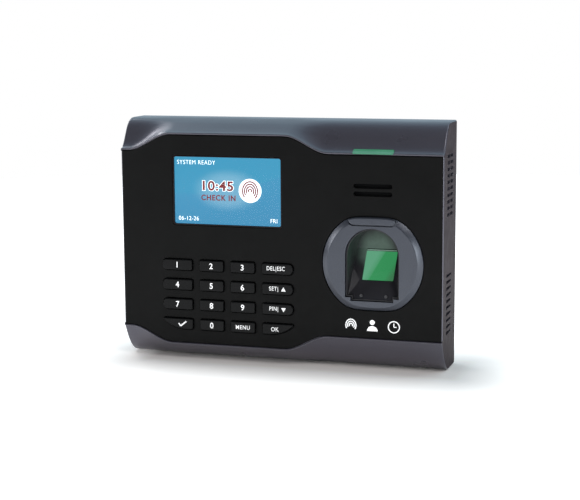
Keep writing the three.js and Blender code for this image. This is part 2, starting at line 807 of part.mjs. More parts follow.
function backlight() {
  const front = FRAME_FRONT + LCD_SHEET + LCD_GLASS + 2 * GAP;
  return lcdLayer("backlight_unit", front, FRAME_FRONT + LCD_DEPTH - front, WHITE);
}

// a flat cable: a (depth, height) centre line given a thickness and a width
function ribbon(line, thickness, x0, x1) {
  const sides = [[], []];
  line.forEach(([d, z], i) => {
    const before = line[Math.max(i - 1, 0)];
    const after = line[Math.min(i + 1, line.length - 1)];
    const run = new THREE.Vector2(after[0] - before[0], after[1] - before[1]).normalize();
    sides[0].push([d - (run.y * thickness) / 2, z + (run.x * thickness) / 2]);
    sides[1].push([d + (run.y * thickness) / 2, z - (run.x * thickness) / 2]);
  });
  return slab([...sides[0], ...sides[1].reverse()], x0, x1);
}

function lcdFlex() {
  const start = FRAME_FRONT + LCD_DEPTH + GAP + 0.2;
  const z = DISPLAY_Z - DISPLAY_HEIGHT / 2;
  const line = [
    [start, z + 8],
    [start, z - 4],
    [start + 1.6, z - 8],
    [BOARD_DEPTH - GAP - 0.3, z - 10],
    [BOARD_DEPTH - GAP - 0.3, z - 16],
  ];
  return piece("lcd_flex", ribbon(line, 0.4, DISPLAY_X - 11, DISPLAY_X + 11), FLEX);
}

// ---------------------------------------------------------------- keypad

const KEY_NAMES = [
  ["key_1", "key_2", "key_3", "key_esc"],
  ["key_4", "key_5", "key_6", "key_up"],
  ["key_7", "key_8", "key_9", "key_down"],
  ["key_check", "key_0", "key_menu", "key_ok"],
];

function keypadKey(column, row) {
  const outline = keyOutline(column, row);
  const flange = grown(outline, KEY_FLANGE);
  const top = grown(outline, -KEY_BEVEL);
  const levels = [
    [top, -KEY_PROUD],
    [outline, -KEY_PROUD + KEY_BEVEL],
    [outline, FRONT_FACE],
    [flange, FRONT_FACE],
    [flange, KEY_BACK],
  ];
  const rings = levels.map(([ring, depth]) => ring.map((p) => new THREE.Vector3(p.x, depth, p.y)));
  const cap = loft(rings, (p) => new THREE.Vector2(p.x, p.z));
  const stem = rod(
    COLUMNS[column],
    ROWS[row],
    KEY_STEM_RADIUS,
    KEY_BACK - 0.5,
    KEY_BACK + KEY_STEM_LENGTH,
    8,
  );
  return piece(KEY_NAMES[row][column], cap.add(stem), KEYCAP);
}

function keypadOutline(margin) {
  const half = END_KEY_WIDTH / 2 + margin;
  const x0 = COLUMNS[0] - half;
  const x1 = COLUMNS[3] + half;
  const z0 = ROWS[3] - KEY_HEIGHT / 2 - margin;
  const z1 = ROWS[0] + KEY_HEIGHT / 2 + margin;
  return roundedBox(x0, x1, z0, z1, [1, 1, 1, 1], 1);
}

function keypadMembrane() {
  const holes = [];
  for (const z of ROWS) {
    for (const x of COLUMNS) {
      const side = 2 * (KEY_STEM_RADIUS + GAP);
      holes.push(evenBox(x, z, side, side, 0.9, 1));
    }
  }
  const body = plate(keypadOutline(KEYPAD_MARGIN), MEMBRANE_FRONT, MEMBRANE_FRONT + MEMBRANE, holes);
  return piece("keypad_membrane", body, SILICONE);
}

function keypadBoard() {
  const body = plate(keypadOutline(KEYPAD_MARGIN), KEYPAD_FRONT, KEYPAD_FRONT + BOARD);
  return piece("keypad_board", body, PCB);
}

function keypadRibbon() {
  const start = KEYPAD_FRONT + BOARD + GAP + 0.2;
  const line = [
    [start, 30],
    [start, 38],
    [start + 2, 42],
    [BOARD_DEPTH - GAP - 0.3, 45],
    [BOARD_DEPTH - GAP - 0.3, 52],
  ];
  return piece("keypad_ribbon", ribbon(line, 0.4, DISPLAY_X - 34, DISPLAY_X - 16), WHITE);
}

// ---------------------------------------------------------------- fingerprint sensor

function sensorBezel() {
  const outer = bezelOutline(BEZEL_RADIUS, BEZEL_FLAT);
  const face = bezelOutline(BEZEL_RADIUS - BEZEL_BAND, BEZEL_FLAT - BEZEL_BAND / 2);
  const flange = bezelOutline(BEZEL_RADIUS + BEZEL_FLANGE, BEZEL_FLAT + BEZEL_FLANGE);
  const levels = [
    [face, -BEZEL_PROUD],
    [outer, -0.3],
    [outer, FRONT_FACE],
    [flange, FRONT_FACE],
    [flange, FRONT_BACK - GAP],
  ];
  const rings = levels.map(([ring, depth]) => ring.map((p) => new THREE.Vector3(p.x, depth, p.y)));
  const ringBody = loft(rings, (p) => new THREE.Vector2(p.x, p.z));
  const left = SENSOR_X - BROW_WIDTH / 2;
  const right = SENSOR_X + BROW_WIDTH / 2;
  const browOutline = roundedBox(left, right, BROW_Z, BEZEL_Z + BEZEL_FLAT, [2, 2, 0.6, 0.6]);
  const brow = plate(browOutline, -BEZEL_PROUD - BROW_PROUD, 0).intersect(
    plate(bezelOutline(BEZEL_RADIUS - 1, BEZEL_FLAT - 0.5), -5, 5),
  );
  const body = ringBody.add(brow).subtract(plate(archOutline(0), -5, FRONT_BACK + 1));
  return piece("sensor_bezel", body, SENSOR_GREY);
}

// the finger's path: over the ramp, onto the tilted window and against the back wall
function fingerSpace() {
  const low = ARCH_BOTTOM - ARCH_TAB_DROP + CUP_WALL;
  const profile = [
    [CUP_FRONT - 1, low],
    [RAMP_DEPTH, low],
    [WINDOW_DEPTH - 0.8, WINDOW_Z - 0.7],
    [WINDOW_DEPTH, WINDOW_Z],
    [WINDOW_TOP_DEPTH, WINDOW_TOP_Z],
    [CUP_BACK, WINDOW_TOP_Z],
    [CUP_BACK, ARCH_TOP + 1],
    [CUP_FRONT - 1, ARCH_TOP + 1],
  ];
  return slab(profile, SENSOR_X - ARCH_WIDTH, SENSOR_X + ARCH_WIDTH);
}

function sensorCup() {
  const shell = plate(archOutline(GAP), CUP_FRONT, CUP_REAR);
  const inside = plate(archOutline(GAP + CUP_WALL), CUP_FRONT - 1, CUP_REAR);
  const opticsHalf = WINDOW_WIDTH / 2 + GAP;
  const optics = [
    [WINDOW_DEPTH, WINDOW_Z],
    [WINDOW_DEPTH, ARCH_BOTTOM + 1.4],
    [CUP_REAR + 1, ARCH_BOTTOM + 1.4],
    [CUP_REAR + 1, WINDOW_TOP_Z + GAP],
    [WINDOW_TOP_DEPTH + GAP, WINDOW_TOP_Z + GAP],
    [WINDOW_DEPTH - 2, WINDOW_Z + 1.4 - 2 / Math.tan(WINDOW_TILT) + 1.4],
  ];
  const cutter = slab(optics, SENSOR_X - opticsHalf, SENSOR_X + opticsHalf);
  let body = shell.subtract(inside.intersect(fingerSpace())).subtract(cutter);
  for (const side of [-1, 1]) {
    const x = SENSOR_X + (side * CUP_SCREW_SPREAD) / 2;
    const seat = CUP_SCREW_SEAT + GAP;
    body = body.subtract(rod(x, CUP_SCREW_Z, CUP_SCREW_RADIUS + GAP, -2, seat, 10));
    body = body.subtract(
      rod(x, CUP_SCREW_Z, CUP_SCREW_SHANK + GAP, 0, seat + CUP_SCREW_LENGTH, 8),
    );
  }
  return piece("sensor_cup", body, DARK);
}

function cupScrew(name, side) {
  const x = SENSOR_X + (side * CUP_SCREW_SPREAD) / 2;
  const front = CUP_SCREW_SEAT - 1;
  const head = rod(x, CUP_SCREW_Z, CUP_SCREW_RADIUS, front, CUP_SCREW_SEAT, 10);
  const tip = CUP_SCREW_SEAT + CUP_SCREW_LENGTH - 0.5;
  const shank = rod(x, CUP_SCREW_Z, CUP_SCREW_SHANK, CUP_SCREW_SEAT - 0.4, tip, 8);
  const slot = box(x - 0.7, x + 0.7, front - 0.4, front + 0.4, CUP_SCREW_Z - 0.15, CUP_SCREW_Z + 0.15);
  return piece(name, head.add(shank).subtract(slot), STEEL);
}

function prism() {
  const apex = [WINDOW_TOP_DEPTH + 2.3, WINDOW_Z + 2.5];
  const profile = [[WINDOW_DEPTH + 0.3, WINDOW_Z + 0.1], apex, [WINDOW_TOP_DEPTH, WINDOW_TOP_Z - 0.3]];
  const half = WINDOW_WIDTH / 2;
  return piece("prism", slab(profile, SENSOR_X - half, SENSOR_X + half), GLOW);
}

function sensorLights() {
  const half = WINDOW_WIDTH / 2 - 1;
  const board = box(SENSOR_X - half, SENSOR_X + half, 12, 23.4, 45.2, 46.4);
  const lamps = [-5, 0, 5].map((dx) =>
    box(SENSOR_X + dx - 1.2, SENSOR_X + dx + 1.2, 15, 18, 46.2, 47.6),
  );
  return piece("sensor_light_board", join([board, ...lamps]), PCB);
}

function sensorBracket() {
  const outline = evenBox(SENSOR_X, 60, 34, 30, 2, 2);
  const body = plate(outline, CUP_REAR + 1.6, CUP_REAR + 3.0).subtract(
    rod(SENSOR_X, CAMERA_Z, CAMERA_RADIUS + GAP, 20, 40, 16),
  );
  return piece("sensor_bracket", body, DARK);
}

function sensorCamera() {
  const front = CUP_REAR + 1.6;
  const back = COVER_FRONT - GAP - BOARD - GAP;
  return piece("sensor_camera", rod(SENSOR_X, CAMERA_Z, CAMERA_RADIUS, front, back, 16), CHIP);
}

function sensorBoard() {
  const outline = evenBox(SENSOR_X, 58, 26, 36, 1, 1);
  const body = plate(outline, COVER_FRONT - GAP - BOARD, COVER_FRONT - GAP);
  return piece("sensor_board", body, PCB);
}

function sensorRibbon() {
  const x0 = BOARD_RIGHT - 7;
  const x1 = SENSOR_X - 8;
  const high = COVER_FRONT - 2 * GAP - BOARD - 0.2;
  const low = BEHIND_BOARD + 0.2;
  const line = [
    [x0, low],
    [x0 + 9, low],
    [x0 + 13, low + 4],
    [x1 - 8, high - 3],
    [x1 - 4, high],
    [x1, high],
  ];
  const sides = [[], []];
  line.forEach(([x, d]) => {
    sides[0].push(new THREE.Vector2(x, d - 0.2));
    sides[1].push(new THREE.Vector2(x, d + 0.2));
  });
  const shape = new THREE.Shape([...sides[0], ...sides[1].reverse()]);
  const geometry = new THREE.ExtrudeGeometry(shape, { depth: 4, bevelEnabled: false });
  geometry.translate(0, 0, 40.4);
  return piece("sensor_ribbon", solid(geometry), WHITE);
}

// ---------------------------------------------------------------- status light and speaker

function lightPipe(skin) {
  const bar = plate(lightOutline(0), -5, LIGHT_BACK);
  return piece("status_light_pipe", skin.intersect(bar), GLOW);
}

function statusBoard() {
  const z = FASCIA_TOP + LIGHT_LIFT + LIGHT_HEIGHT / 2;
  const front = LIGHT_BACK + GAP + 1.2;
  const board = box(SENSOR_X - 10, SENSOR_X + 10, front, front + BOARD, z - 5, z + 2.5);
  const lamps = [-6, 0, 6].map((dx) =>
    box(SENSOR_X + dx - 1.5, SENSOR_X + dx + 1.5, LIGHT_BACK + GAP, front + 0.3, z - 0.8, z + 0.8),
  );
  return piece("status_light_board", join([board, ...lamps]), PCB);
}

function speakerMesh() {
  const body = rod(SENSOR_X, SPEAKER_Z, SPEAKER_OPENING - GAP, FRONT_FACE + 0.4, FRONT_FACE + 0.9, 24);
  return piece("speaker_mesh", body, BLACK);
}

function speakerFrame() {
  const front = FRAME_FRONT;
  const back = front + SPEAKER_DEPTH;
  const profile = [
    [SPEAKER_RADIUS, front],
    [SPEAKER_RADIUS, front + 1.2],
    [MAGNET_RADIUS, back],
    [5, back],
    [5, back - 0.8],
    [MAGNET_RADIUS - 0.6, back - 0.8],
    [SPEAKER_RADIUS - 1.8, front + 0.8],
    [SPEAKER_RADIUS - 1.8, front],
    [SPEAKER_RADIUS, front],
  ];
  return piece("speaker_frame", turned(profile, SENSOR_X, SPEAKER_Z), CHIP);
}

function speakerCone() {
  const front = FRAME_FRONT;
  const profile = [
    [SPEAKER_RADIUS - 2.1, front + 0.1],
    [SPEAKER_RADIUS - 2.1, front + 0.4],
    [6.4, front + 2.2],
    [0, front + 2.2],
    [0, front + 1.8],
    [6.2, front + 1.8],
    [SPEAKER_RADIUS - 2.4, front + 0.1],
    [SPEAKER_RADIUS - 2.1, front + 0.1],
  ];
  return piece("speaker_cone", turned(profile, SENSOR_X, SPEAKER_Z), SILICONE);
}

function speakerMagnet() {
  const front = FRAME_FRONT + SPEAKER_DEPTH + GAP;
  const body = rod(SENSOR_X, SPEAKER_Z, MAGNET_RADIUS, front, front + MAGNET_DEPTH, 20);
  return piece("speaker_magnet", body, STEEL);
}

function speakerLead() {
  const back = FRAME_FRONT + SPEAKER_DEPTH + 2;
  const points = [
    [SENSOR_X - 9.5, back, SPEAKER_Z + 2],
    [SENSOR_X - 15, back + 1.5, SPEAKER_Z + 3],
    [SENSOR_X - 22, BOARD_DEPTH - 3, SPEAKER_Z],
    [BOARD_RIGHT - 4, BOARD_DEPTH - 1.2, SPEAKER_Z - 6],
    [BOARD_RIGHT - 9, BOARD_DEPTH - 1.2, SPEAKER_Z - 9],
  ];
  return piece("speaker_lead", sweep(points, 0.7, 14), { color: 0xa02820, roughness: 0.6 });
}

// ---------------------------------------------------------------- electronics

function mainBoard() {
  const outline = roundedBox(BOARD_LEFT, BOARD_RIGHT, BOARD_BOTTOM, BOARD_TOP, [2, 2, 2, 2], 1);
  const holes = postPlaces().map(([x, z]) => {
    const side = 2 * (STAKE_RADIUS + GAP);
    return evenBox(x, z, side, side, 0.6, 1);
  });
  return piece("main_board", plate(outline, BOARD_DEPTH, BOARD_BACK, holes), PCB);
}

function chip(name, x, z, side, thickness, look) {
  const back = BOARD_DEPTH - GAP;
  return piece(name, plate(evenBox(x, z, side, side, 0.6, 1), back - thickness, back), look);
}

function cellHolder() {
  const cup = [
    [CELL_RADIUS + 1.6, BEHIND_BOARD],
    [CELL_RADIUS + 1.6, BEHIND_BOARD + 3],
    [CELL_RADIUS + GAP, BEHIND_BOARD + 3],
    [CELL_RADIUS + GAP, BEHIND_BOARD + 0.9],
    [0, BEHIND_BOARD + 0.9],
    [0, BEHIND_BOARD],
  ];
  return piece("coin_cell_holder", turned([...cup, cup[0]], CELL_X, CELL_Z, 20), CHIP);
}

function coinCell() {
  const front = BEHIND_BOARD + 0.9 + GAP;
  return piece("coin_cell", rod(CELL_X, CELL_Z, CELL_RADIUS, front, front + CELL_THICKNESS, 20), STEEL);
}

function networkSocket() {
  const half = SOCKET_WIDTH / 2;
  const mouth = SOCKET_MOUTH_WIDTH / 2;
  const back = BEHIND_BOARD + SOCKET_DEPTH;
  const top = ABOVE_BAY + SOCKET_MOUTH_LENGTH;
  const shell = box(
    SOCKET_X - half,
    SOCKET_X + half,
    BEHIND_BOARD,
    back,
    ABOVE_BAY,
    ABOVE_BAY + SOCKET_LENGTH,
  );
  const opening = box(
    SOCKET_X - mouth,
    SOCKET_X + mouth,
    MOUTH_DEPTH - SOCKET_MOUTH_DEPTH / 2,
    MOUTH_DEPTH + SOCKET_MOUTH_DEPTH / 2,
    ABOVE_BAY - 1,
    top,
  );
  return piece("network_socket", shell.subtract(opening), STEEL);
}

function powerJack() {
  const half = JACK_WIDTH / 2;
  const top = ABOVE_BAY + JACK_BORE_LENGTH;
  const shell = box(
    JACK_X - half,
    JACK_X + half,
    BEHIND_BOARD,
    BEHIND_BOARD + JACK_DEPTH,
    ABOVE_BAY,
    ABOVE_BAY + JACK_LENGTH,
  );
  const bore = post(JACK_X, BORE_DEPTH, JACK_BORE, ABOVE_BAY - 1, top);
  const pin = post(JACK_X, BORE_DEPTH, JACK_PIN, ABOVE_BAY + 1, top + 1, 8);
  return piece("power_jack", shell.subtract(bore).add(pin), CHIP);
}

function tamperSwitch() {
  const half = TAMPER_BODY / 2;
  const body = box(
    TAMPER_X - half,
    TAMPER_X + half,
    BEHIND_BOARD,
    BEHIND_BOARD + 4,
    TAMPER_Z - half,
    TAMPER_Z + half,
  );
  return piece("tamper_switch", body, CHIP);
}

function tamperPlunger() {
  const front = BEHIND_BOARD + 4 + GAP + TAMPER_TRAVEL;
  const rodBody = rod(TAMPER_X, TAMPER_Z, TAMPER_RADIUS, front, SHEET_FRONT - GAP, 14);
  const collar = rod(TAMPER_X, TAMPER_Z, TAMPER_COLLAR, COVER_FRONT - GAP - 1.4, COVER_FRONT - GAP, 14);
  return piece("tamper_plunger", rodBody.add(collar), WHITE);
}

// ---------------------------------------------------------------- back cover and wall plate

function hookPlaces() {
  return HOOK_Z.flatMap((z) => [
    [-HOOK_X, z],
    [HOOK_X, z],
  ]);
}

function backCover() {
  const side = HALF - WALL - GAP;
  const low = WALL + GAP;
  const high = HEIGHT - WALL - GAP;
  const lid = plate(roundedBox(-side, side, low, high, [1, 1, 1, 1], 1), COVER_FRONT, HOUSING_DEPTH);
  const x0 = BAY_X - BAY_WIDTH / 2;
  const x1 = BAY_X + BAY_WIDTH / 2;
  const outer = box(
    x0 - BAY_WALL,
    x1 + BAY_WALL,
    BAY_FLOOR - BAY_WALL,
    COVER_FRONT + 1,
    BAY_BOTTOM - BAY_WALL,
    BAY_TOP + BAY_WALL,
  );
  const bay = box(x0, x1, BAY_FLOOR, HOUSING_DEPTH + 1, BAY_BOTTOM, BAY_TOP);
  const mouthHalf = SOCKET_MOUTH_WIDTH / 2 + GAP;
  const mouth = box(
    SOCKET_X - mouthHalf,
    SOCKET_X + mouthHalf,
    BAY_FLOOR,
    MOUTH_DEPTH + SOCKET_MOUTH_DEPTH / 2 + GAP,
    BAY_TOP - 1,
    ABOVE_BAY,
  );
  const jackHole = box(
    JACK_X - JACK_BORE - GAP,
    JACK_X + JACK_BORE + GAP,
    BAY_FLOOR,
    BORE_DEPTH + JACK_BORE + GAP,
    BAY_TOP - 1,
    ABOVE_BAY,
  );
  const screwHoles = bossPlaces().flatMap(([x, z]) => [
    rod(x, z, SCREW_RADIUS + GAP, COVER_FRONT - 1, HOUSING_DEPTH + 1, 14),
    rod(x, z, SCREW_HEAD + GAP, HOUSING_DEPTH - COUNTERBORE, HOUSING_DEPTH + 1, 14),
  ]);
  const hookSlots = hookPlaces().map(([x, z]) =>
    box(
      x - HOOK_WIDTH / 2 - 2 * GAP,
      x + HOOK_WIDTH / 2 + 2 * GAP,
      COVER_FRONT - 1,
      HOUSING_DEPTH + 1,
      z - HOOK_RISE - PLATE_SHEET,
      z + GAP,
    ),
  );
  const tabSlot = box(
    -TAB_WIDTH / 2 - GAP,
    TAB_WIDTH / 2 + GAP,
    COVER_FRONT - 1,
    HOUSING_DEPTH + 1,
    PLATE_BOTTOM - GAP,
    PLATE_BOTTOM + PLATE_SHEET + GAP,
  );
  const plungerHole = rod(
    TAMPER_X,
    TAMPER_Z,
    TAMPER_RADIUS + GAP,
    COVER_FRONT - 1,
    HOUSING_DEPTH + 1,
    14,
  );
  const cuts = [bay, mouth, jackHole, ...screwHoles, ...hookSlots, tabSlot, plungerHole];
  return piece("back_cover", lid.add(outer).subtract(join(cuts)), DARK);
}

function housingScrew(name, x, z) {
  const headFront = HOUSING_DEPTH - COUNTERBORE + GAP;
  const head = rod(x, z, SCREW_HEAD, headFront, headFront + SCREW_HEAD_HEIGHT, 14);
  const shank = rod(x, z, SCREW_RADIUS, COVER_FRONT - SCREW_LENGTH, headFront + 0.5, 12);
  const back = headFront + SCREW_HEAD_HEIGHT;
  const across = box(x - 1.6, x + 1.6, back - 0.9, back + 1, z - 0.4, z + 0.4);
  const upright = box(x - 0.4, x + 0.4, back - 0.9, back + 1, z - 1.6, z + 1.6);
  return piece(name, head.add(shank).subtract(across).subtract(upright), STEEL);
}

// an upside-down keyhole: the screw head enters low and the plate drops onto its neck
function keyhole(x, z) {
  const round = rod(x, z, KEYHOLE_RADIUS, SHEET_FRONT - 1, WALL_PLANE + 1, 16);
  const neck = box(
    x - KEYHOLE_SLOT,
    x + KEYHOLE_SLOT,
    SHEET_FRONT - 1,
    WALL_PLANE + 1,
    z,
    z + KEYHOLE_LENGTH,
  );
  return round.add(neck);
}

function wallPlate() {
  const side = HALF - PLATE_INSET;
  const top = HEIGHT - PLATE_INSET;
  const corners = [PLATE_CORNER, PLATE_CORNER, PLATE_CORNER, PLATE_CORNER];
  const outline = roundedBox(-side, side, PLATE_BOTTOM, top, corners);
  const dish = grown(outline, -PLATE_SHEET);
  let body = plate(outline, PLATE_FRONT, WALL_PLANE).subtract(
    plate(dish, PLATE_FRONT - 1, SHEET_FRONT),
  );
  const window = evenBox(
    BAY_X,
    BAY_Z,
    BAY_WIDTH + 2 * WINDOW_MARGIN,
    BAY_HEIGHT + 2 * WINDOW_MARGIN,
    3,
  );
  const cuts = [plate(window, SHEET_FRONT - 1, WALL_PLANE + 1)];
  for (const z of KEYHOLE_Z) cuts.push(keyhole(-KEYHOLE_X, z), keyhole(KEYHOLE_X, z));
  body = body.subtract(join(cuts));
  const lipBack = COVER_FRONT - GAP;
  const hooks = hookPlaces().map(([x, z]) => {
    const profile = [
      [SHEET_FRONT + 0.5, z - PLATE_SHEET],
      [SHEET_FRONT + 0.5, z],
      [lipBack, z],
      [lipBack, z + HOOK_RISE],
      [lipBack - PLATE_SHEET, z + HOOK_RISE],
      [lipBack - PLATE_SHEET, z - PLATE_SHEET],
    ];
    return slab(profile, x - HOOK_WIDTH / 2, x + HOOK_WIDTH / 2);
  });
  const tab = box(
    -TAB_WIDTH / 2,
    TAB_WIDTH / 2,
    TAB_REACH,
    SHEET_FRONT + 0.5,
    PLATE_BOTTOM,
    PLATE_BOTTOM + PLATE_SHEET,
  ).subtract(post(0, LOCK_DEPTH, LOCK_RADIUS + GAP, 0, 20));
  return piece("wall_plate", join([body, ...hooks, tab]), STEEL);
}

function lockScrew() {
  const head = post(0, LOCK_DEPTH, LOCK_HEAD, 0.5, 2.3);
  const shank = post(0, LOCK_DEPTH, LOCK_RADIUS, 2, 0.5 + LOCK_LENGTH);
  const socket = post(0, LOCK_DEPTH, 1.4, 0, 1.6, 6);
  return piece("lock_screw", head.add(shank).subtract(socket), STEEL);
}

// ---------------------------------------------------------------- assembly

function build() {
  const terminal = new THREE.Group();
  terminal.name = "fingerprint_terminal";
  const skin = housingSkin();
  terminal.add(frontHousing(skin), fasciaPanel());
  terminal.add(displayLens(), lcdFrame(), lcdGlass(), backlight(), lcdFlex());
  for (let row = 0; row < 4; row++) {
    for (let column = 0; column < 4; column++) terminal.add(keypadKey(column, row));
  }
  terminal.add(keypadMembrane(), keypadBoard(), keypadRibbon());
  terminal.add(sensorBezel(), sensorCup(), prism(), sensorLights());
  terminal.add(cupScrew("cup_screw_left", -1), cupScrew("cup_screw_right", 1));
  terminal.add(sensorBracket(), sensorCamera(), sensorBoard(), sensorRibbon());
  terminal.add(lightPipe(skin), statusBoard());
  terminal.add(speakerMesh(), speakerFrame(), speakerCone(), speakerMagnet(), speakerLead());
  terminal.add(mainBoard(), chip("processor", -50, 92, 16, 1.4, CHIP));
  terminal.add(chip("memory_chip", -8, 92, 12, 1.0, CHIP));
  terminal.add(cellHolder(), coinCell(), networkSocket(), powerJack());
  terminal.add(tamperSwitch(), tamperPlunger());
  terminal.add(backCover(), wallPlate(), lockScrew());
  bossPlaces().forEach(([x, z], i) => terminal.add(housingScrew(`housing_screw_${i + 1}`, x, z)));
  const middle = (WALL_PLANE - FRONTMOST) / 2;
  terminal.position.y = -middle;
  return terminal;
}

export default build();
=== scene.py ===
# Fingerprint terminal on a pale studio floor. Lengths are written in millimetres and scaled by MM.
# DEPTH_SHIFT turns a depth behind the fascia's front plane into the row frame's Y.
import json
import math
import bpy
import bmesh
from mathutils import Vector, Matrix


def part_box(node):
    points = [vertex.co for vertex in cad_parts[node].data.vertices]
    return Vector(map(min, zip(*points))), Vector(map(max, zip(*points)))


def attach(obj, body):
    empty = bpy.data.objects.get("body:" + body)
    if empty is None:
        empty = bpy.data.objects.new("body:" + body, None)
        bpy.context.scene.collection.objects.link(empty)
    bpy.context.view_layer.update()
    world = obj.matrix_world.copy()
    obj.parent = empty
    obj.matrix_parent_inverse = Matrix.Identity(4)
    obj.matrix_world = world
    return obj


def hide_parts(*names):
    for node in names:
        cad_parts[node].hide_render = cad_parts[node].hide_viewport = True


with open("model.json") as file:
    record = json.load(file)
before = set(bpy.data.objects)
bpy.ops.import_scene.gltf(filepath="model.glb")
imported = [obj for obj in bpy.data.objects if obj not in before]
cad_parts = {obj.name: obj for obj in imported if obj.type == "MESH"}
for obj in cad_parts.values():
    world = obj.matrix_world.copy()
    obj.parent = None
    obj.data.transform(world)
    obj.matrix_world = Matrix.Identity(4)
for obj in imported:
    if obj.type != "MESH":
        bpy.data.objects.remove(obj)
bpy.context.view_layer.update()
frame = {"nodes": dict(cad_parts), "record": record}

MM = 0.001
HOME = "terminal"

# ---------------------------------------------------------------- sizes, in millimetres


def mm_box(node):
    """Lowest and highest corners of a CAD node at rest, in millimetres."""
    return [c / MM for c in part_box(node)]


lens_low, lens_high = mm_box("display_lens")
plate_low, plate_high = mm_box("wall_plate")
hull_low, hull_high = mm_box("front_housing")
bezel_low, bezel_high = mm_box("sensor_bezel")

DEPTH_SHIFT = mm_box("fascia_panel")[0].y
HALF = (hull_high.x - hull_low.x) / 2
HEIGHT = hull_high.z - hull_low.z
REAR = hull_high.y - DEPTH_SHIFT
WALL = 2.2
FASCIA_TOP = HEIGHT - 18
FOOT_RISE = 18.9
CREST_RISE = 9.5
CREST_DROP = 9.1
WAVE_LENGTH = 26
CREST_HALF = 47.8
DISPLAY_X = (lens_low.x + lens_high.x) / 2
DISPLAY_Z = (lens_low.z + lens_high.z) / 2
SENSOR_X = (bezel_low.x + bezel_high.x) / 2
BEZEL_Z = (bezel_low.z + bezel_high.z) / 2
FASCIA_THICK = 2.0
FRONT_FACE = 2.3
PICTURE_W, PICTURE_H = 65.4, 39.2
SPEAKER_Z = 103.3

RING_R, RING_FLAT = 29.2, 26.6
FACE_R, FACE_FLAT = 25.8, 24.9
SCREW_APART, SCREW_Z = 7.2, 43

ARCH_R = 15.6
ARCH_TOP = 81.8
ARCH_CENTRE = ARCH_TOP - ARCH_R
ARCH_BOTTOM = 42.4
ARCH_TAB = 24.9 / 2
TAB_DROP = 2.0
WINDOW = [(11.0, 50.3), (22.47, 66.68)]

# ---------------------------------------------------------------- mesh helpers


def link(obj):
    bpy.context.scene.collection.objects.link(obj)
    return obj


def add_piece(obj, material, body=HOME, replaces=()):
    """Gives obj its material and body, and hides the CAD nodes it stands for."""
    obj.data.materials.clear()
    obj.data.materials.append(material)
    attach(obj, body)
    if replaces:
        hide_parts(*replaces)
    return obj


def smooth(obj, angle=32):
    """Smooth shading with large faces kept flat, and edges sharper than the angle kept sharp."""
    obj.data.shade_smooth()
    obj.data.set_sharp_from_angle(angle=math.radians(angle))
    step = obj.modifiers.new("weighted", "WEIGHTED_NORMAL")
    step.mode = "FACE_AREA"
    step.weight = 60
    step.keep_sharp = True
    return apply_modifiers(obj)


def put_y(depth):
    """Y of a depth behind the fascia's front plane, in millimetres."""
    return depth + DEPTH_SHIFT


def clean(mesh, distance):
    """Merges corners closer than distance, in metres, and turns all faces outwards."""
    bm = bmesh.new()
    bm.from_mesh(mesh)
    bmesh.ops.remove_doubles(bm, verts=bm.verts, dist=distance)
    bmesh.ops.recalc_face_normals(bm, faces=bm.faces)
    bm.to_mesh(mesh)
    bm.free()


def mesh_object(name, verts, faces):
    """A mesh from (x, y, z) corners in millimetres."""
    mesh = bpy.data.meshes.new(name)
    mesh.from_pydata([tuple(c * MM for c in v) for v in verts], [], faces)
    mesh.validate()
    clean(mesh, 1e-7)
    return link(bpy.data.objects.new(name, mesh))


def curve_mesh(name, curve):
    """The mesh of a filled curve or of lettering. The curve is removed."""
    temp = link(bpy.data.objects.new(name + "_curve", curve))
    graph = bpy.context.evaluated_depsgraph_get()
    mesh = bpy.data.meshes.new_from_object(temp.evaluated_get(graph))
    bpy.data.objects.remove(temp)
    bpy.data.curves.remove(curve)
    mesh.name = name
    return mesh


def loft(name, rings):
    """Closed skin through rings of (x, depth, z) points, capped at both ends."""
    count = len(rings[0])
    verts = [(x, put_y(d), z) for ring in rings for x, d, z in ring]
    faces = []
    for r in range(len(rings) - 1):
        for i in range(count):
            a, b = r * count + i, r * count + (i + 1) % count
            faces.append((a, b, b + count, a + count))
    faces.append(tuple(range(count)))
    faces.append(tuple(range((len(rings) - 1) * count, len(rings) * count)))
    return mesh_object(name, verts, faces)


def apply_modifiers(obj):
    graph = bpy.context.evaluated_depsgraph_get()
    made = bpy.data.meshes.new_from_object(obj.evaluated_get(graph))
    old = obj.data
    obj.modifiers.clear()
    obj.data = made
    bpy.data.meshes.remove(old)
    return obj


def boolean(obj, cutters, operation="DIFFERENCE"):
    """Cuts obj with each cutter and removes the cutters."""
    for cutter in cutters:
        step = obj.modifiers.new("cut", "BOOLEAN")
        step.operation = operation
        step.solver = "EXACT"
        step.object = cutter
    apply_modifiers(obj)
    for cutter in cutters:
        data = cutter.data
        bpy.data.objects.remove(cutter)
        if data.users == 0:
            bpy.data.meshes.remove(data)
    return obj


def bevel(obj, width, segments=3, angle=40):
    step = obj.modifiers.new("bevel", "BEVEL")
    step.width = width * MM
    step.segments = segments
    step.limit_method = "ANGLE"
    step.angle_limit = math.radians(angle)
    step.use_clamp_overlap = True
    step.harden_normals = False
    return apply_modifiers(obj)


def join(objects):
    """One mesh object from several, keeping the first one's name."""
    first = objects[0]
    bm = bmesh.new()
    for obj in objects:
        piece = bmesh.new()
        piece.from_mesh(obj.data)
        piece.transform(obj.matrix_world)
        temp = bpy.data.meshes.new("temp")
        piece.to_mesh(temp)
        piece.free()
        bm.from_mesh(temp)
        bpy.data.meshes.remove(temp)
    bm.to_mesh(first.data)
    bm.free()
    first.matrix_world = Matrix.Identity(4)
    for obj in objects[1:]:
        bpy.data.objects.remove(obj)
    return first


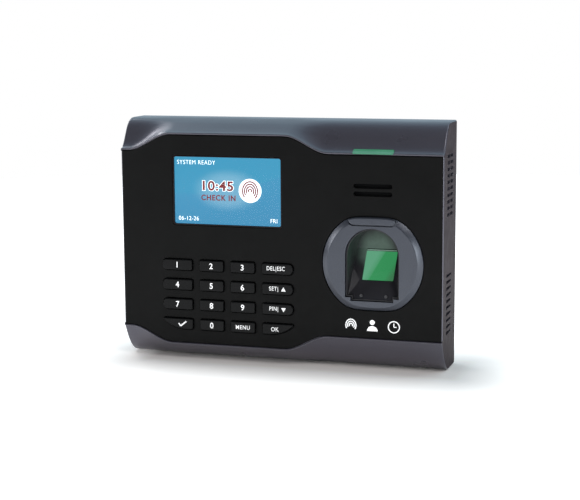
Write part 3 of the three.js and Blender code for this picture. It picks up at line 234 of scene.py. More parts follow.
def plate(name, outline, d0, d1, holes=(), edge=0.0, steps=3):
    """A plate drawn in the front view, from depth d0 to d1, with rims rounded by edge."""
    curve = bpy.data.curves.new(name, "CURVE")
    curve.dimensions = "2D"
    curve.fill_mode = "BOTH"
    curve.extrude = (d1 - d0) / 2 * MM - edge * MM
    curve.bevel_depth = edge * MM
    curve.bevel_resolution = steps
    curve.offset = -edge * MM
    for ring in [outline, *holes]:
        spline = curve.splines.new("POLY")
        spline.points.add(len(ring) - 1)
        for point, (x, z) in zip(spline.points, ring):
            point.co = (x * MM, z * MM, 0, 1)
        spline.use_cyclic_u = True
    mesh = curve_mesh(name, curve)
    place = Matrix.Translation((0, put_y((d0 + d1) / 2) * MM, 0))
    mesh.transform(place @ Matrix.Rotation(math.pi / 2, 4, "X"))
    clean(mesh, 2e-7)
    return link(bpy.data.objects.new(name, mesh))


def slab(name, profile, x0, x1):
    """A (depth, z) outline given a width along X."""
    rings = [[(x, d, z) for d, z in profile] for x in (x0, x1)]
    return loft(name, rings)


def block(name, x0, x1, d0, d1, z0, z1):
    return slab(name, [(d0, z0), (d1, z0), (d1, z1), (d0, z1)], x0, x1)


def circle(x, z, radius, sides=48, start=0.0):
    return [
        (x + radius * math.cos(start + 2 * math.pi * i / sides),
         z + radius * math.sin(start + 2 * math.pi * i / sides))
        for i in range(sides)
    ]


def rounded_box(x0, x1, z0, z1, corners, steps=6):
    """Anticlockwise from the lower left; corners are the radii LL, LR, UR, UL."""
    spots = [(x0, z0, 1, 1), (x1, z0, -1, 1), (x1, z1, -1, -1), (x0, z1, 1, -1)]
    points = []
    for n, (x, z, right, up) in enumerate(spots):
        r = corners[n]
        for i in range(steps + 1):
            a = math.pi + n * math.pi / 2 + i * math.pi / 2 / steps
            points.append((x + right * r + r * math.cos(a), z + up * r + r * math.sin(a)))
    return points


def even_box(x, z, width, height, radius, steps=6):
    return rounded_box(x - width / 2, x + width / 2, z - height / 2, z + height / 2, [radius] * 4, steps)


def grown(points, amount):
    """An anticlockwise outline moved outwards by amount."""
    out = []
    n = len(points)
    for i, (x, z) in enumerate(points):
        bx, bz = points[i - 1]
        ax, az = points[(i + 1) % n]
        one = Vector((z - bz, bx - x)).normalized()
        two = Vector((az - z, x - ax)).normalized()
        reach = amount / max(0.35, 1 + one.dot(two))
        out.append((x + (one.x + two.x) * reach, z + (one.y + two.y) * reach))
    return out


def ease(t):
    u = min(1.0, max(0.0, t))
    return u * u * (3 - 2 * u)


def wave(x):
    """0 at both ends of the terminal, 1 over the display, with an S-shaped run between."""
    left = ease((x - (DISPLAY_X - CREST_HALF - WAVE_LENGTH / 2)) / WAVE_LENGTH)
    right = ease((x - (DISPLAY_X + CREST_HALF - WAVE_LENGTH / 2)) / WAVE_LENGTH)
    return left - right


def upper_edge(x):
    return FASCIA_TOP + CREST_RISE * wave(x)


def lower_edge(x):
    return FOOT_RISE - CREST_DROP * wave(x)


def spline(points, samples):
    """Catmull-Rom through (a, b) points, evenly sampled by chord length."""
    chord = [0.0]
    for p, q in zip(points, points[1:]):
        chord.append(chord[-1] + math.hypot(q[0] - p[0], q[1] - p[1]))
    out = []
    for s in range(samples):
        want = chord[-1] * s / (samples - 1)
        i = max(0, min(len(points) - 2, next((k - 1 for k, c in enumerate(chord) if c >= want and k > 0), 0)))
        t = (want - chord[i]) / (chord[i + 1] - chord[i])
        p0 = points[max(i - 1, 0)]
        p1, p2 = points[i], points[i + 1]
        p3 = points[min(i + 2, len(points) - 1)]
        row = []
        for a, b, c, d in zip(p0, p1, p2, p3):
            row.append(0.5 * (2 * b + (c - a) * t + (2 * a - 5 * b + 4 * c - d) * t * t
                              + (3 * b - 3 * c + d - a) * t ** 3))
        out.append(tuple(row))
    return out


# ---------------------------------------------------------------- materials


def srgb(r, g, b):
    def one(v):
        v /= 255
        return v / 12.92 if v <= 0.04045 else ((v + 0.055) / 1.055) ** 2.4
    return (one(r), one(g), one(b), 1.0)


class Tree:
    """A small wrapper that makes node trees short to write."""

    def __init__(self, tree):
        self.tree = tree
        self.tree.nodes.clear()

    def node(self, kind, **inputs):
        made = self.tree.nodes.new("ShaderNode" + kind)
        for key, value in inputs.items():
            made.inputs[key.replace("_", " ")].default_value = value
        return made

    def wire(self, a, output, b, entry):
        self.tree.links.new(a.outputs[output], b.inputs[entry])

    def maths(self, operation, source, output, *rest, kind="Math"):
        """A math node fed by source; rest are the values of its other inputs."""
        made = self.node(kind)
        made.operation = operation
        self.wire(source, output, made, 0)
        for entry, value in enumerate(rest, 1):
            made.inputs[entry].default_value = value
        return made

    def ramp(self, source, output, low, high, a=0.3, b=0.7):
        """A value that runs from low to high while the source runs from a to b."""
        made = self.node("MapRange")
        made.inputs["From Min"].default_value = a
        made.inputs["From Max"].default_value = b
        made.inputs["To Min"].default_value = low
        made.inputs["To Max"].default_value = high
        self.wire(source, output, made, "Value")
        return made


class Nodes(Tree):
    """A material's nodes, built round one Principled shader."""

    def __init__(self, name):
        self.material = bpy.data.materials.new(name)
        self.material.use_nodes = True
        super().__init__(self.material.node_tree)
        self.out = self.node("OutputMaterial")
        self.shader = self.node("BsdfPrincipled")
        self.wire(self.shader, 0, self.out, 0)
        self.coords = self.node("TexCoord")

    def set(self, **inputs):
        for key, value in inputs.items():
            self.shader.inputs[key.replace("_", " ")].default_value = value
        return self

    def noise(self, scale, detail=3.0, roughness=0.5, stretch=(1, 1, 1)):
        place = self.node("Mapping")
        place.inputs["Scale"].default_value = stretch
        self.wire(self.coords, "Object", place, "Vector")
        made = self.node("TexNoise", Scale=scale, Detail=detail, Roughness=roughness)
        self.wire(place, "Vector", made, "Vector")
        return made

    def tint(self, source, low, high, a=0.3, b=0.7, output="Fac"):
        """Base colour running from low to high with a texture."""
        made = self.node("ValToRGB")
        made.color_ramp.elements[0].position = a
        made.color_ramp.elements[0].color = low
        made.color_ramp.elements[1].position = b
        made.color_ramp.elements[1].color = high
        self.wire(source, output, made, "Fac")
        self.wire(made, "Color", self.shader, "Base Color")
        return made

    def rough(self, source, low, high, a=0.3, b=0.7, output="Fac"):
        made = self.ramp(source, output, low, high, a, b)
        self.wire(made, "Result", self.shader, "Roughness")
        return made

    def bump(self, source, strength, distance, output="Fac"):
        made = self.node("Bump", Strength=strength, Distance=distance * MM)
        previous = getattr(self, "last_bump", None)
        self.wire(source, output, made, "Height")
        if previous:
            self.wire(previous, "Normal", made, "Normal")
        self.wire(made, "Normal", self.shader, "Normal")
        self.last_bump = made
        return made


def plastic(name, low, high, rough=(0.42, 0.55), grain=1800, depth=0.02, level=0.3, strength=0.25):
    made = Nodes(name).set(Specular_IOR_Level=level)
    made.tint(made.noise(60, 4), low, high)
    made.rough(made.noise(220, 3), *rough)
    made.bump(made.noise(grain, 2), strength, depth)
    return made.material


def metallic_paint(name, low, high, metal=0.65, rough=(0.3, 0.38), level=0.5):
    made = Nodes(name).set(Metallic=metal, Specular_IOR_Level=level, Coat_Weight=0.25, Coat_Roughness=0.22)
    made.tint(made.noise(3600, 3, 0.7), low, high)
    made.rough(made.noise(60, 3), *rough)
    made.bump(made.noise(2600, 2), 0.05, 0.008)
    return made.material


def glow(name, low, high, strength, scale=30, rough=0.15):
    made = Nodes(name).set(Roughness=rough, Coat_Weight=0.6, Coat_Roughness=0.05)
    colour = made.tint(made.noise(scale, 2), low, high)
    made.wire(colour, "Color", made.shader, "Emission Color")
    made.set(Emission_Strength=strength)
    return made.material


PAINT = metallic_paint("gunmetal_paint", srgb(84, 82, 91), srgb(98, 96, 106), 0.6, (0.27, 0.33))
FASCIA_BLACK = plastic("fascia_black", srgb(9, 9, 9), srgb(13, 13, 13), (0.42, 0.52), 2600, 0.015, 0.12)
KEY_BLACK = plastic("key_black", srgb(11, 11, 12), srgb(15, 15, 16), (0.24, 0.32), 2200, 0.012, 0.14)
# A darker, warmer copy of the housing paint for the flat ends: painted shade, since the sides are the same
# paint turned away from the light.
SIDE_PAINTED_SHADE = plastic("side_paint_painted_shade", srgb(50, 41, 44), srgb(62, 53, 56), (0.55, 0.66), 2400, 0.03, 0.06, 0.4)
SENSOR_PAINT = metallic_paint("sensor_paint", srgb(60, 63, 72), srgb(71, 75, 85), 0.5, (0.28, 0.34))


# Centre and reach, in millimetres, of the painted green glow on the cup's walls.
PAINTED_GLOW_CENTRE = (SENSOR_X - 3, put_y(20), 67)
PAINTED_GLOW_NEAR, PAINTED_GLOW_FAR = 3, 15.5


def lit_cup():
    """Dark textured plastic with a painted green glow on the walls round the window, standing in for the
    window's light falling on them.
    """
    made = Nodes("cup_black_painted_glow").set(Specular_IOR_Level=0.35)
    made.tint(made.noise(60, 4), srgb(38, 37, 41), srgb(48, 47, 52))
    made.rough(made.noise(220, 3), 0.36, 0.48)
    made.bump(made.noise(1500, 2), 0.25, 0.03)
    centre = [c * MM for c in PAINTED_GLOW_CENTRE]
    away = made.maths("DISTANCE", made.coords, "Object", centre, kind="VectorMath")
    near = made.ramp(away, "Value", 0.9, 0.0, PAINTED_GLOW_NEAR * MM, PAINTED_GLOW_FAR * MM)
    near.interpolation_type = "SMOOTHERSTEP"
    strength = made.maths("MULTIPLY", near, "Result")
    made.wire(made.ramp(made.noise(260, 3), "Fac", 0.7, 1.0), "Result", strength, 1)
    made.wire(strength, "Value", made.shader, "Emission Strength")
    made.set(Emission_Color=srgb(78, 100, 88))
    return made.material


CUP_BLACK_PAINTED_GLOW = lit_cup()
PRINT_WHITE = plastic("printed_white", srgb(244, 245, 246), srgb(252, 252, 252), (0.45, 0.55), 3000, 0.01)
# The print also gets a faint white emission, a painted brightening that stands in for light on the lettering.
lettering = PRINT_WHITE.node_tree.nodes["Principled BSDF"]
lettering.inputs["Emission Color"].default_value = (1, 1, 1, 1)
lettering.inputs["Emission Strength"].default_value = 0.25

# ---------------------------------------------------------------- housing

# (depth, height) lines of the skin. WING and CREST start at the fascia's upper edge, at the ends and
# over the display; FOOT runs along the underside; BEAD is the rolled rim along both fascia edges.
WING = [(0.1, 1.1), (1.3, 1.65), (3.1, 3.6), (5.4, 7.2), (7.6, 11.0), (10.2, 14.6), (13.2, 17.0),
        (16.5, 17.8), (20, 18)]
CREST = [(0.1, 1.1), (2, 1.7), (5, 3.1), (8, 4.7), (11, 6.2), (14, 7.3), (17, 8.0), (20, 8.5)]
BEAD_REACH = 1.1
FOOT = [(18, 0), (14, 1), (9.5, 4), (5.8, 8.2), (2.5, 13.2), (0.1, FOOT_RISE - BEAD_REACH)]
BEAD = [(0.4, 0.05), (-0.2, 0.05), (-0.45, 0.12), (-0.6, 0.32), (-0.65, 0.55), (-0.58, 0.78), (-0.38, 0.96),
        (-0.1, 1.04)]
wing_line = spline(WING, 28)
crest_line = spline(CREST, 28)
foot_line = spline(FOOT, 20)
REAR_ROUND, REAR_EASE = 0.5, 0.15


def cap_points(x):
    """The skin above the fascia at x, from the rim back to the top of the rear edge."""
    s = wave(x)
    edge = upper_edge(x)
    line = [(a[0] + (b[0] - a[0]) * s, edge + a[1] + (b[1] - a[1]) * s)
            for a, b in zip(wing_line, crest_line)]
    bead = [(d, edge + z) for d, z in BEAD]
    corner = [(REAR - REAR_ROUND, HEIGHT), (REAR - REAR_EASE, HEIGHT - REAR_EASE),
              (REAR, HEIGHT - REAR_ROUND)]
    return bead + line + corner


def foot_points(x):
    """The skin below the fascia at x, from the foot of the rear edge forward to the rim."""
    edge = lower_edge(x)
    scale = (edge - BEAD_REACH) / (FOOT_RISE - BEAD_REACH)
    line = [(d, z * scale) for d, z in foot_line]
    bead = [(d, edge - z) for d, z in reversed(BEAD)]
    corner = [(REAR, REAR_ROUND), (REAR - REAR_EASE, REAR_EASE), (REAR - REAR_ROUND, 0)]
    return corner + line + bead


def housing_ring(x, inset=0.0):
    """The outline at x, drawn in by inset where the ends are rounded."""
    ring = []
    for d, z in foot_points(x) + cap_points(x):
        away = min(1.0, max(-1.0, (z - HEIGHT / 2) / (HEIGHT / 3)))
        ring.append((x, d + inset * 0.8 * (1 - max(d, 0) / REAR), z - inset * away))
    return ring


def stations(limit, spacing):
    """Places along X from -limit to limit, close together where the edges run in an S."""
    places = [-limit]
    while places[-1] < limit - 1e-6:
        x = places[-1]
        near = min(abs(x - DISPLAY_X + CREST_HALF), abs(x - DISPLAY_X - CREST_HALF))
        places.append(min(limit, x + (spacing if near < WAVE_LENGTH / 2 + 3 else 4 * spacing)))
    return places


END_ROUND, END_STEPS = 0.9, 6
rounding = []
for i in range(1, END_STEPS + 1):
    a = i * math.pi / (2 * END_STEPS)
    rounding.append((END_ROUND * math.sin(a), END_ROUND * (1 - math.cos(a))))
body_stations = stations(HALF - END_ROUND, 1.3)
rings = [housing_ring(x) for x in body_stations]
rings += [housing_ring(HALF - END_ROUND + out, inset) for out, inset in rounding]
rings = [housing_ring(-(HALF - END_ROUND + out), inset) for out, inset in reversed(rounding)] + rings
housing = loft("housing_shell", rings)


INNER_DEPTHS = (4.1, 6, 8, 10.6, 13.4, 17, 22, REAR + 1)


def inner_ring(x):
    """The cavity's outline at x, one wall inside the skin."""
    cap = [p for p in cap_points(x) if p[0] >= 0]
    foot = [p for p in foot_points(x) if p[0] >= 0]

    def at(line, depth):
        return min(line, key=lambda p: abs(p[0] - depth) + (0 if p[0] < REAR - 0.4 else 0.1))[1]
    above = [(x, d, at(cap, d - 2) - WALL) for d in INNER_DEPTHS]
    below = [(x, d, at(foot, d - 2) + WALL) for d in INNER_DEPTHS]
    return list(reversed(above)) + below


def fascia_outline(shrink, half):
    places = stations(half, 1.0)
    lower = [(x, lower_edge(x) + shrink) for x in places]
    upper = [(x, upper_edge(x) - shrink) for x in reversed(places)]
    return lower + upper


def arch_outline(shrink, steps=40):
    half, tab = ARCH_R - shrink, ARCH_TAB - shrink
    low = ARCH_BOTTOM - TAB_DROP + shrink
    points = [(-tab, low), (tab, low), (tab, ARCH_BOTTOM + shrink), (half, ARCH_BOTTOM + shrink)]
    points += [(half * math.cos(i * math.pi / steps), ARCH_CENTRE + half * math.sin(i * math.pi / steps))
               for i in range(steps + 1)]
    points += [(-half, ARCH_BOTTOM + shrink), (-tab, ARCH_BOTTOM + shrink)]
    return [(SENSOR_X + x, z) for x, z in points]


def bezel_outline(radius, flat, sides=192):
    """A circle round the sensor with its top and bottom flattened to a height of flat."""
    points = []
    for i in range(sides):
        a = 2 * math.pi * (i + 0.5) / sides
        r = (radius ** -24 + (abs(math.sin(a)) / flat) ** 24) ** (-1 / 24)
        points.append((SENSOR_X + r * math.cos(a), BEZEL_Z + r * math.sin(a)))
    return points


cavity = loft("cavity", [inner_ring(x) for x in stations(HALF - WALL, 2.6)])
recess = plate("recess", fascia_outline(0, HALF - 0.6), -5, FRONT_FACE)
VENT_START, VENT_ROWS, VENT_PITCH, VENT_HALF = 9.4, 10, 3.64, 0.95
UPPER_VENTS, LOWER_VENTS = 123.1, 55.8
VENT_PAIR = ((VENT_START, VENT_START + 7.1), (VENT_START + 8.3, VENT_START + 15.4))
WEDGE_END = VENT_START + 12.4
vent_cutters = []
for side in (-1, 1):
    x0, x1 = sorted((side * (HALF - WALL - 0.6), side * (HALF + 1)))
    for i in range(VENT_ROWS):
        z = UPPER_VENTS - VENT_HALF - i * VENT_PITCH
        for d0, d1 in VENT_PAIR:
            opening = even_box((d0 + d1) / 2, z, d1 - d0, 2 * VENT_HALF, 0.35, 2)
            vent_cutters.append(slab("vent", opening, x0, x1))
        z = LOWER_VENTS - VENT_HALF - i * VENT_PITCH
        wedge = [(VENT_START, z - VENT_HALF), (WEDGE_END, z - 0.45), (WEDGE_END, z + 0.65),
                 (VENT_START, z + VENT_HALF)]
        vent_cutters.append(slab("vent", wedge, x0, x1))
vents = join(vent_cutters)


def picture_box(margin, radius):
    """The lit picture's outline with a margin all round."""
    return even_box(DISPLAY_X, DISPLAY_Z, PICTURE_W + margin, PICTURE_H + margin, radius)


THROUGH = 6
KEY_ROOM = 0.3
openings = [plate("hole", bezel_outline(30.9, 28.3, 96), 0, THROUGH)]
openings.append(plate("hole", circle(SENSOR_X, SPEAKER_Z, 12), 0, THROUGH))
openings.append(plate("hole", picture_box(0.8, 0.5), 0, THROUGH))
openings.append(plate("hole", even_box(SENSOR_X, FASCIA_TOP + 1.65, 23.6, 2.7, 0.6), -5, 14))
pad_left = mm_box("key_1")[0].x - KEY_ROOM
pad_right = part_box("key_ok")[1].x / MM + KEY_ROOM
for name in ("key_1", "key_4", "key_7", "key_0"):
    low, high = mm_box(name)
    openings.append(block("hole", pad_left, pad_right, 0, THROUGH, low.z - KEY_ROOM, high.z + KEY_ROOM))
openings = join(openings)
boolean(housing, [cavity, recess, openings, vents])
smooth(housing, 34)
add_piece(housing, PAINT, replaces=["front_housing"])
# The flat end faces take the darker copy of the paint, painted shade on the sides.
housing.data.materials.append(SIDE_PAINTED_SHADE)
for face in housing.data.polygons:
    if abs(face.normal.x) > 0.93 and abs(face.center.x) > (HALF - END_ROUND) * MM:
        face.material_index = 1

# ---------------------------------------------------------------- fascia and keys

KEY_NAMES = [["key_1", "key_2", "key_3", "key_esc"], ["key_4", "key_5", "key_6", "key_up"],
             ["key_7", "key_8", "key_9", "key_down"], ["key_check", "key_0", "key_menu", "key_ok"]]
COLUMNS = [(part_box(n)[0].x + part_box(n)[1].x) / 2 / MM for n in KEY_NAMES[0]]
ROWS = [(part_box(n)[0].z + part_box(n)[1].z) / 2 / MM for n in ("key_1", "key_4", "key_7", "key_0")]
KEY_W, END_W, KEY_H = 14.6, 18.4, 6.3
KEY_PROUD = 1.4
KEY_GAP = 0.35
INNER_CORNER, OUTER_CORNER = 1.0, 2.7


def key_outline(column, row):
    """A key's outline. Keys at the ends are wider, and those of the last row have a swept lower edge."""
    x, z = COLUMNS[column], ROWS[row]
    if column in (1, 2):
        return even_box(x, z, KEY_W, KEY_H, INNER_CORNER, 5)
    half, outer = END_W / 2, (-1 if column == 0 else 1)
    if row < 3:
        left, right = (OUTER_CORNER, INNER_CORNER) if outer < 0 else (INNER_CORNER, OUTER_CORNER)
        return rounded_box(x - half, x + half, z - KEY_H / 2, z + KEY_H / 2, [left, right, right, left], 6)
    low, high = z - KEY_H / 2, z + KEY_H / 2
    a, b, c = (-half + 5, low), (half * 0.42, low + 0.4), (half - 0.2, high - 1.2)
    curve = []
    for i in range(17):
        t = i / 16
        curve.append(tuple((1 - t) ** 2 * p + 2 * t * (1 - t) * q + t * t * r for p, q, r in zip(a, b, c)))
    points = [(-half, low + 0.9), (-half + 0.25, low + 0.3), (-half + 0.9, low)] + curve
    points += [(half, high - 0.6), (half - 0.15, high - 0.2), (half - 0.6, high), (-half + 0.9, high),
               (-half + 0.25, high - 0.3), (-half, high - 0.9)]
    placed = [(x + outer * px, pz) for px, pz in points]
    return placed[::-1] if outer < 0 else placed


holes = [picture_box(1.6, 1.8)]
holes += [grown(key_outline(c, r), KEY_GAP) for r in range(4) for c in range(4)]
holes.append(bezel_outline(29.55, 26.95))
for side in (-1, 1):
    holes.append(even_box(SENSOR_X, SPEAKER_Z + side * 2.2, 22.2, 2.4, 1.19, 8))
fascia = plate("fascia", fascia_outline(0.35, HALF - 0.9), 0, FASCIA_THICK, holes, edge=0.28,
               steps=2)
smooth(fascia, 50)
add_piece(fascia, FASCIA_BLACK, replaces=["fascia_panel"])


def text_piece(name, words, x, z, size, depth, material, body, stretch=1.0, bold=0.0, spacing=1.0):
    """Flat printed lettering from the built-in font, centred on (x, z)."""
    curve = bpy.data.curves.new(name, "FONT")
    curve.body = words
    curve.size = size * MM
    curve.align_x, curve.align_y = "CENTER", "CENTER"
    curve.extrude = 0.03 * MM
    curve.offset = bold * MM
    curve.space_character = spacing
    mesh = curve_mesh(name, curve)
    low = [min(v.co[i] for v in mesh.vertices) for i in (0, 1)]
    high = [max(v.co[i] for v in mesh.vertices) for i in (0, 1)]
    middle = Matrix.Translation((-(low[0] + high[0]) / 2, -(low[1] + high[1]) / 2, 0))
    place = Matrix.Translation((x * MM, put_y(depth) * MM, z * MM))
    stand = place @ Matrix.Rotation(math.pi / 2, 4, "X")
    mesh.transform(stand @ Matrix.Scale(stretch, 4, (1, 0, 0)) @ middle)
    obj = link(bpy.data.objects.new(name, mesh))
    return add_piece(obj, material, body=body)


def sign(name, outlines, depth, material, body=HOME):
    """Flat printed signs made of closed outlines in the front view."""
    parts = [plate(name, ring, depth - 0.03, depth + 0.03) for ring in outlines]
    return add_piece(join(parts), material, body=body)


def ribbon_outline(points, width):
    """An open line of (x, z) points given a width."""
    left, right = [], []
    for i, (x, z) in enumerate(points):
        bx, bz = points[max(i - 1, 0)]
        ax, az = points[min(i + 1, len(points) - 1)]
        run = Vector((ax - bx, az - bz)).normalized() * width / 2
        left.append((x - run.y, z + run.x))
        right.append((x + run.y, z - run.x))
    return right + left[::-1]


LABEL_DEPTH = -KEY_PROUD - 0.01


def key_text(key_name, words, x, z, size=3.4, stretch=0.84, bold=0.02):
    text_piece(key_name + "_label", words, x, z, size, LABEL_DEPTH, PRINT_WHITE, key_name + "_cap",
               stretch, bold, 1.12)


labels = {"key_%d" % n: str(n) for n in range(10)}
labels.update(key_menu="MENU", key_ok="OK")
for r in range(4):
    for c in range(4):
        name = KEY_NAMES[r][c]
        body = name + "_cap"
        x, z = COLUMNS[c], ROWS[r]
        key = plate(name + "_button", key_outline(c, r), -KEY_PROUD, 2.0, edge=0.5, steps=4)
        smooth(key, 40)
        add_piece(key, KEY_BLACK, body=body, replaces=[name])
        if name in labels:
            words = labels[name]
            shift = -1.6 if name == "key_ok" else 0
            size, stretch, bold = (4.7, 0.95, 0.09) if len(words) == 1 else (3.5, 0.86, 0.02)
            key_text(name, words, x + shift, z, size, stretch, bold)
        elif name == "key_check":
            tick = [(x + 0.4, z + 0.3), (x + 1.7, z - 1.3), (x + 5.2, z + 1.5)]
            strokes = [ribbon_outline(tick[:2], 0.8), ribbon_outline(tick[1:], 0.8)]
            sign(name + "_label", strokes, LABEL_DEPTH, PRINT_WHITE, body)
        elif name == "key_esc":
            key_text(name, "DEL|ESC", x - 0.8, z, stretch=0.82)
        else:
            key_text(name, "SET|" if name == "key_up" else "PIN|", x - 2.2, z)
            up = 1 if name == "key_up" else -1
            arrow = [(x + 2.3, z - up * 1.0), (x + 5.1, z - up * 1.0), (x + 3.7, z + up * 1.4)]
            sign(name + "_arrow", [arrow if up > 0 else arrow[::-1]], LABEL_DEPTH, PRINT_WHITE, body)

# ---------------------------------------------------------------- display

UNLIT = (0.01, 0.01, 0.012, 1)
SWEEP_POWER, SWEEP_DROP = 2.2, 11.4
HALO_STRETCH, HALO_NEAR, HALO_FAR = 1.7, 11, 23

# The picture is a blue tone with a curved edge across it and a pale halo round its middle.
screen = Nodes("lit_screen")
split = screen.node("SeparateXYZ")
screen.wire(screen.coords, "Object", split, "Vector")
left, right = DISPLAY_X - PICTURE_W / 2, DISPLAY_X + PICTURE_W / 2
low, high = DISPLAY_Z - PICTURE_H / 2, DISPLAY_Z + PICTURE_H / 2
run = screen.ramp(split, "X", 0.0, 1.0, left * MM, right * MM)
curved = screen.maths("POWER", run, "Result", SWEEP_POWER)
sweep = screen.maths("MULTIPLY_ADD", curved, "Value", -SWEEP_DROP * MM)
screen.wire(split, "Z", sweep, 2)
tone = screen.ramp(sweep, "Value", 0.0, 1.0, (DISPLAY_Z - 26) * MM, (DISPLAY_Z + 22) * MM)
colours = screen.node("ValToRGB")
elements = colours.color_ramp.elements
elements[0].position, elements[0].color = 0.0, srgb(74, 154, 198)
elements[1].position, elements[1].color = 1.0, srgb(70, 165, 205)
for position, colour in ((0.49, srgb(75, 161, 204)), (0.505, srgb(72, 165, 205))):
    elements.new(position).color = colour
screen.wire(tone, "Result", colours, "Fac")
squeeze = screen.node("Mapping")
squeeze.inputs["Location"].default_value = (-DISPLAY_X * MM, 0, -(DISPLAY_Z + 0.5) * MM * HALO_STRETCH)
squeeze.inputs["Scale"].default_value = (1, 0, HALO_STRETCH)
screen.wire(screen.coords, "Object", squeeze, "Vector")
apart = screen.maths("LENGTH", squeeze, "Vector", kind="VectorMath")
halo = screen.ramp(apart, "Value", 0.42, 0.0, HALO_NEAR * MM, HALO_FAR * MM)
halo.interpolation_type = "SMOOTHSTEP"
blend = screen.node("Mix")
blend.data_type = "RGBA"
MIX_FACTOR, MIX_A, MIX_B, MIX_RESULT = 0, 6, 7, 2
screen.wire(halo, "Result", blend, MIX_FACTOR)
screen.wire(colours, "Color", blend, MIX_A)
blend.inputs[MIX_B].default_value = srgb(170, 218, 240)
screen.wire(blend, MIX_RESULT, screen.shader, "Emission Color")
screen.set(Base_Color=UNLIT, Roughness=0.4, Specular_IOR_Level=0.05, Emission_Strength=0.97)
SCREEN = screen.material


def lit(name, colour, strength):
    made = Nodes(name)
    brighter = tuple(min(1.0, c * 1.06) for c in colour[:3]) + (1,)
    shade = made.tint(made.noise(400, 2), colour, brighter)
    made.wire(shade, "Color", made.shader, "Emission Color")
    made.set(Emission_Strength=strength, Roughness=0.3)
    return made.material


PIXEL_WHITE = lit("screen_white", srgb(236, 246, 250), 0.9)
PIXEL_RED = lit("screen_red", srgb(104, 28, 34), 0.8)
BORDER = plastic("lens_border", srgb(20, 11, 12), srgb(28, 16, 16), (0.2, 0.3), 900, 0.005, 0.2)

PICTURE_CORNER = 1.2
picture = plate("screen_picture", picture_box(0, PICTURE_CORNER), 1.7, 2.0, edge=0.05)
add_piece(picture, SCREEN)
border = plate("lens_border", picture_box(1.3, 1.7), 0.35, 1.9, [picture_box(-0.2, PICTURE_CORNER)],
               edge=0.12)
smooth(border, 50)
add_piece(border, BORDER)
clear = Nodes("clear_lens").set(Base_Color=UNLIT, Alpha=0.04, Specular_IOR_Level=0.6)
clear.rough(clear.noise(500, 2), 0.04, 0.08)
lens = plate("clear_window", picture_box(-0.3, PICTURE_CORNER), 0.42, 1.1, edge=0.1)
smooth(lens, 50)
add_piece(lens, clear.material, replaces=["display_lens"])

UI_DEPTH = 1.66
CLOCK_X, CLOCK_Z = DISPLAY_X - 5.8, DISPLAY_Z + 2.9
# name, words, x, z, size, depth, material, stretch, boldness, spacing
screen_texts = [
    ("status", "SYSTEM READY", left + 13.6, high - 3.3, 3.5, UI_DEPTH, PIXEL_WHITE, 0.9, -0.02, 1.13),
    ("date", "06-12-26", left + 8.6, low + 3.2, 3.4, UI_DEPTH, PIXEL_WHITE, 0.95, 0.0, 1.08),
    ("day", "FRI", right - 4.6, low + 3.2, 3.4, UI_DEPTH, PIXEL_WHITE, 0.95, 0.0, 1.08),
    ("clock_halo", "10:45", CLOCK_X, CLOCK_Z, 7.6, UI_DEPTH + 0.02, PIXEL_WHITE, 1.15, 0.5, 1.07),
    ("clock", "10:45", CLOCK_X, CLOCK_Z, 7.6, UI_DEPTH - 0.03, PIXEL_RED, 1.15, 0.2, 1.07),
    ("hint", "CHECK IN", DISPLAY_X - 5.6, DISPLAY_Z - 4.0, 4.4, UI_DEPTH - 0.03, PIXEL_RED, 0.95, 0.12, 1.14),
]
for name, words, x, z, size, depth, material, stretch, bold, spacing in screen_texts:
    text_piece("screen_" + name, words, x, z, size, depth, material, HOME, stretch, bold, spacing)


def print_arcs(x, z, radii, squash, width, flare=6):
    """Nested open arcs that stand for a fingerprint."""
    rows = []
    for k, radius in enumerate(radii):
        span = [math.radians(a) for a in range(-30 - flare * k, 211 + flare * k, 10)]
        arc = [(x + radius * math.cos(a) * squash, z + radius * math.sin(a)) for a in span]
        rows.append(ribbon_outline(arc, width))
    return rows


DISC_X = DISPLAY_X + 13.8
sign("screen_disc", [circle(DISC_X, DISPLAY_Z + 0.6, 6.9, 64)], UI_DEPTH + 0.02, PIXEL_WHITE)
sign("screen_fingerprint", print_arcs(DISC_X, DISPLAY_Z + 0.4, (1.2, 2.6, 4.0, 5.4), 0.84, 0.72),
     UI_DEPTH - 0.04, PIXEL_RED)

# ---------------------------------------------------------------- fingerprint sensor

BROW_LOW = 83.6
BROW_CORNER = 2.8


def brow_outline(shrink):
    """A segment of the ring's outline above a level line, with round lower corners."""
    half, low, r = 13.7 - shrink, BROW_LOW + shrink, BROW_CORNER - shrink
    ring = bezel_outline(RING_R - shrink, RING_FLAT - shrink)
    top = [p for p in ring if abs(p[0] - SENSOR_X) < half - 0.2 and p[1] > low + r]
    corner = [i * math.pi / 16 for i in range(9)]
    left = [(SENSOR_X - half + r - r * math.cos(a), low + r - r * math.sin(a)) for a in corner]
    right = [(SENSOR_X + half - r + r * math.sin(a), low + r - r * math.cos(a)) for a in corner]
    return left + right + sorted(top, key=lambda p: -p[0])


def sensor_slab(name, profile, half):
    return slab(name, profile, SENSOR_X - half, SENSOR_X + half)


OUTER = bezel_outline(RING_R, RING_FLAT)
FACE = bezel_outline(FACE_R, FACE_FLAT)
# share of the way from the outer edge to the flat face, depth
levels = [(0, 2.0), (0, 0.4), (0.015, 0.18), (0.06, 0.0), (0.12, -0.14), (0.2, -0.27), (0.5, -0.86),
          (0.88, -1.5), (0.95, -1.57), (1.03, -1.6)]
rings = []
for t, depth in levels:
    rings.append([(a[0] + (b[0] - a[0]) * t, depth, a[1] + (b[1] - a[1]) * t)
                  for a, b in zip(OUTER, FACE)])
bezel = loft("sensor_ring", rings)
boolean(bezel, [plate("arch", arch_outline(0), -5, 6), plate("brow_seat", brow_outline(-0.5), -3, -0.15)])
bevel(bezel, 0.3, 3, 60)
smooth(bezel, 38)
add_piece(bezel, SENSOR_PAINT, replaces=["sensor_bezel"])

brow = plate("sensor_brow", brow_outline(0.25), -2.2, -0.3, edge=0.45, steps=4)
smooth(brow, 40)
add_piece(brow, SENSOR_PAINT)

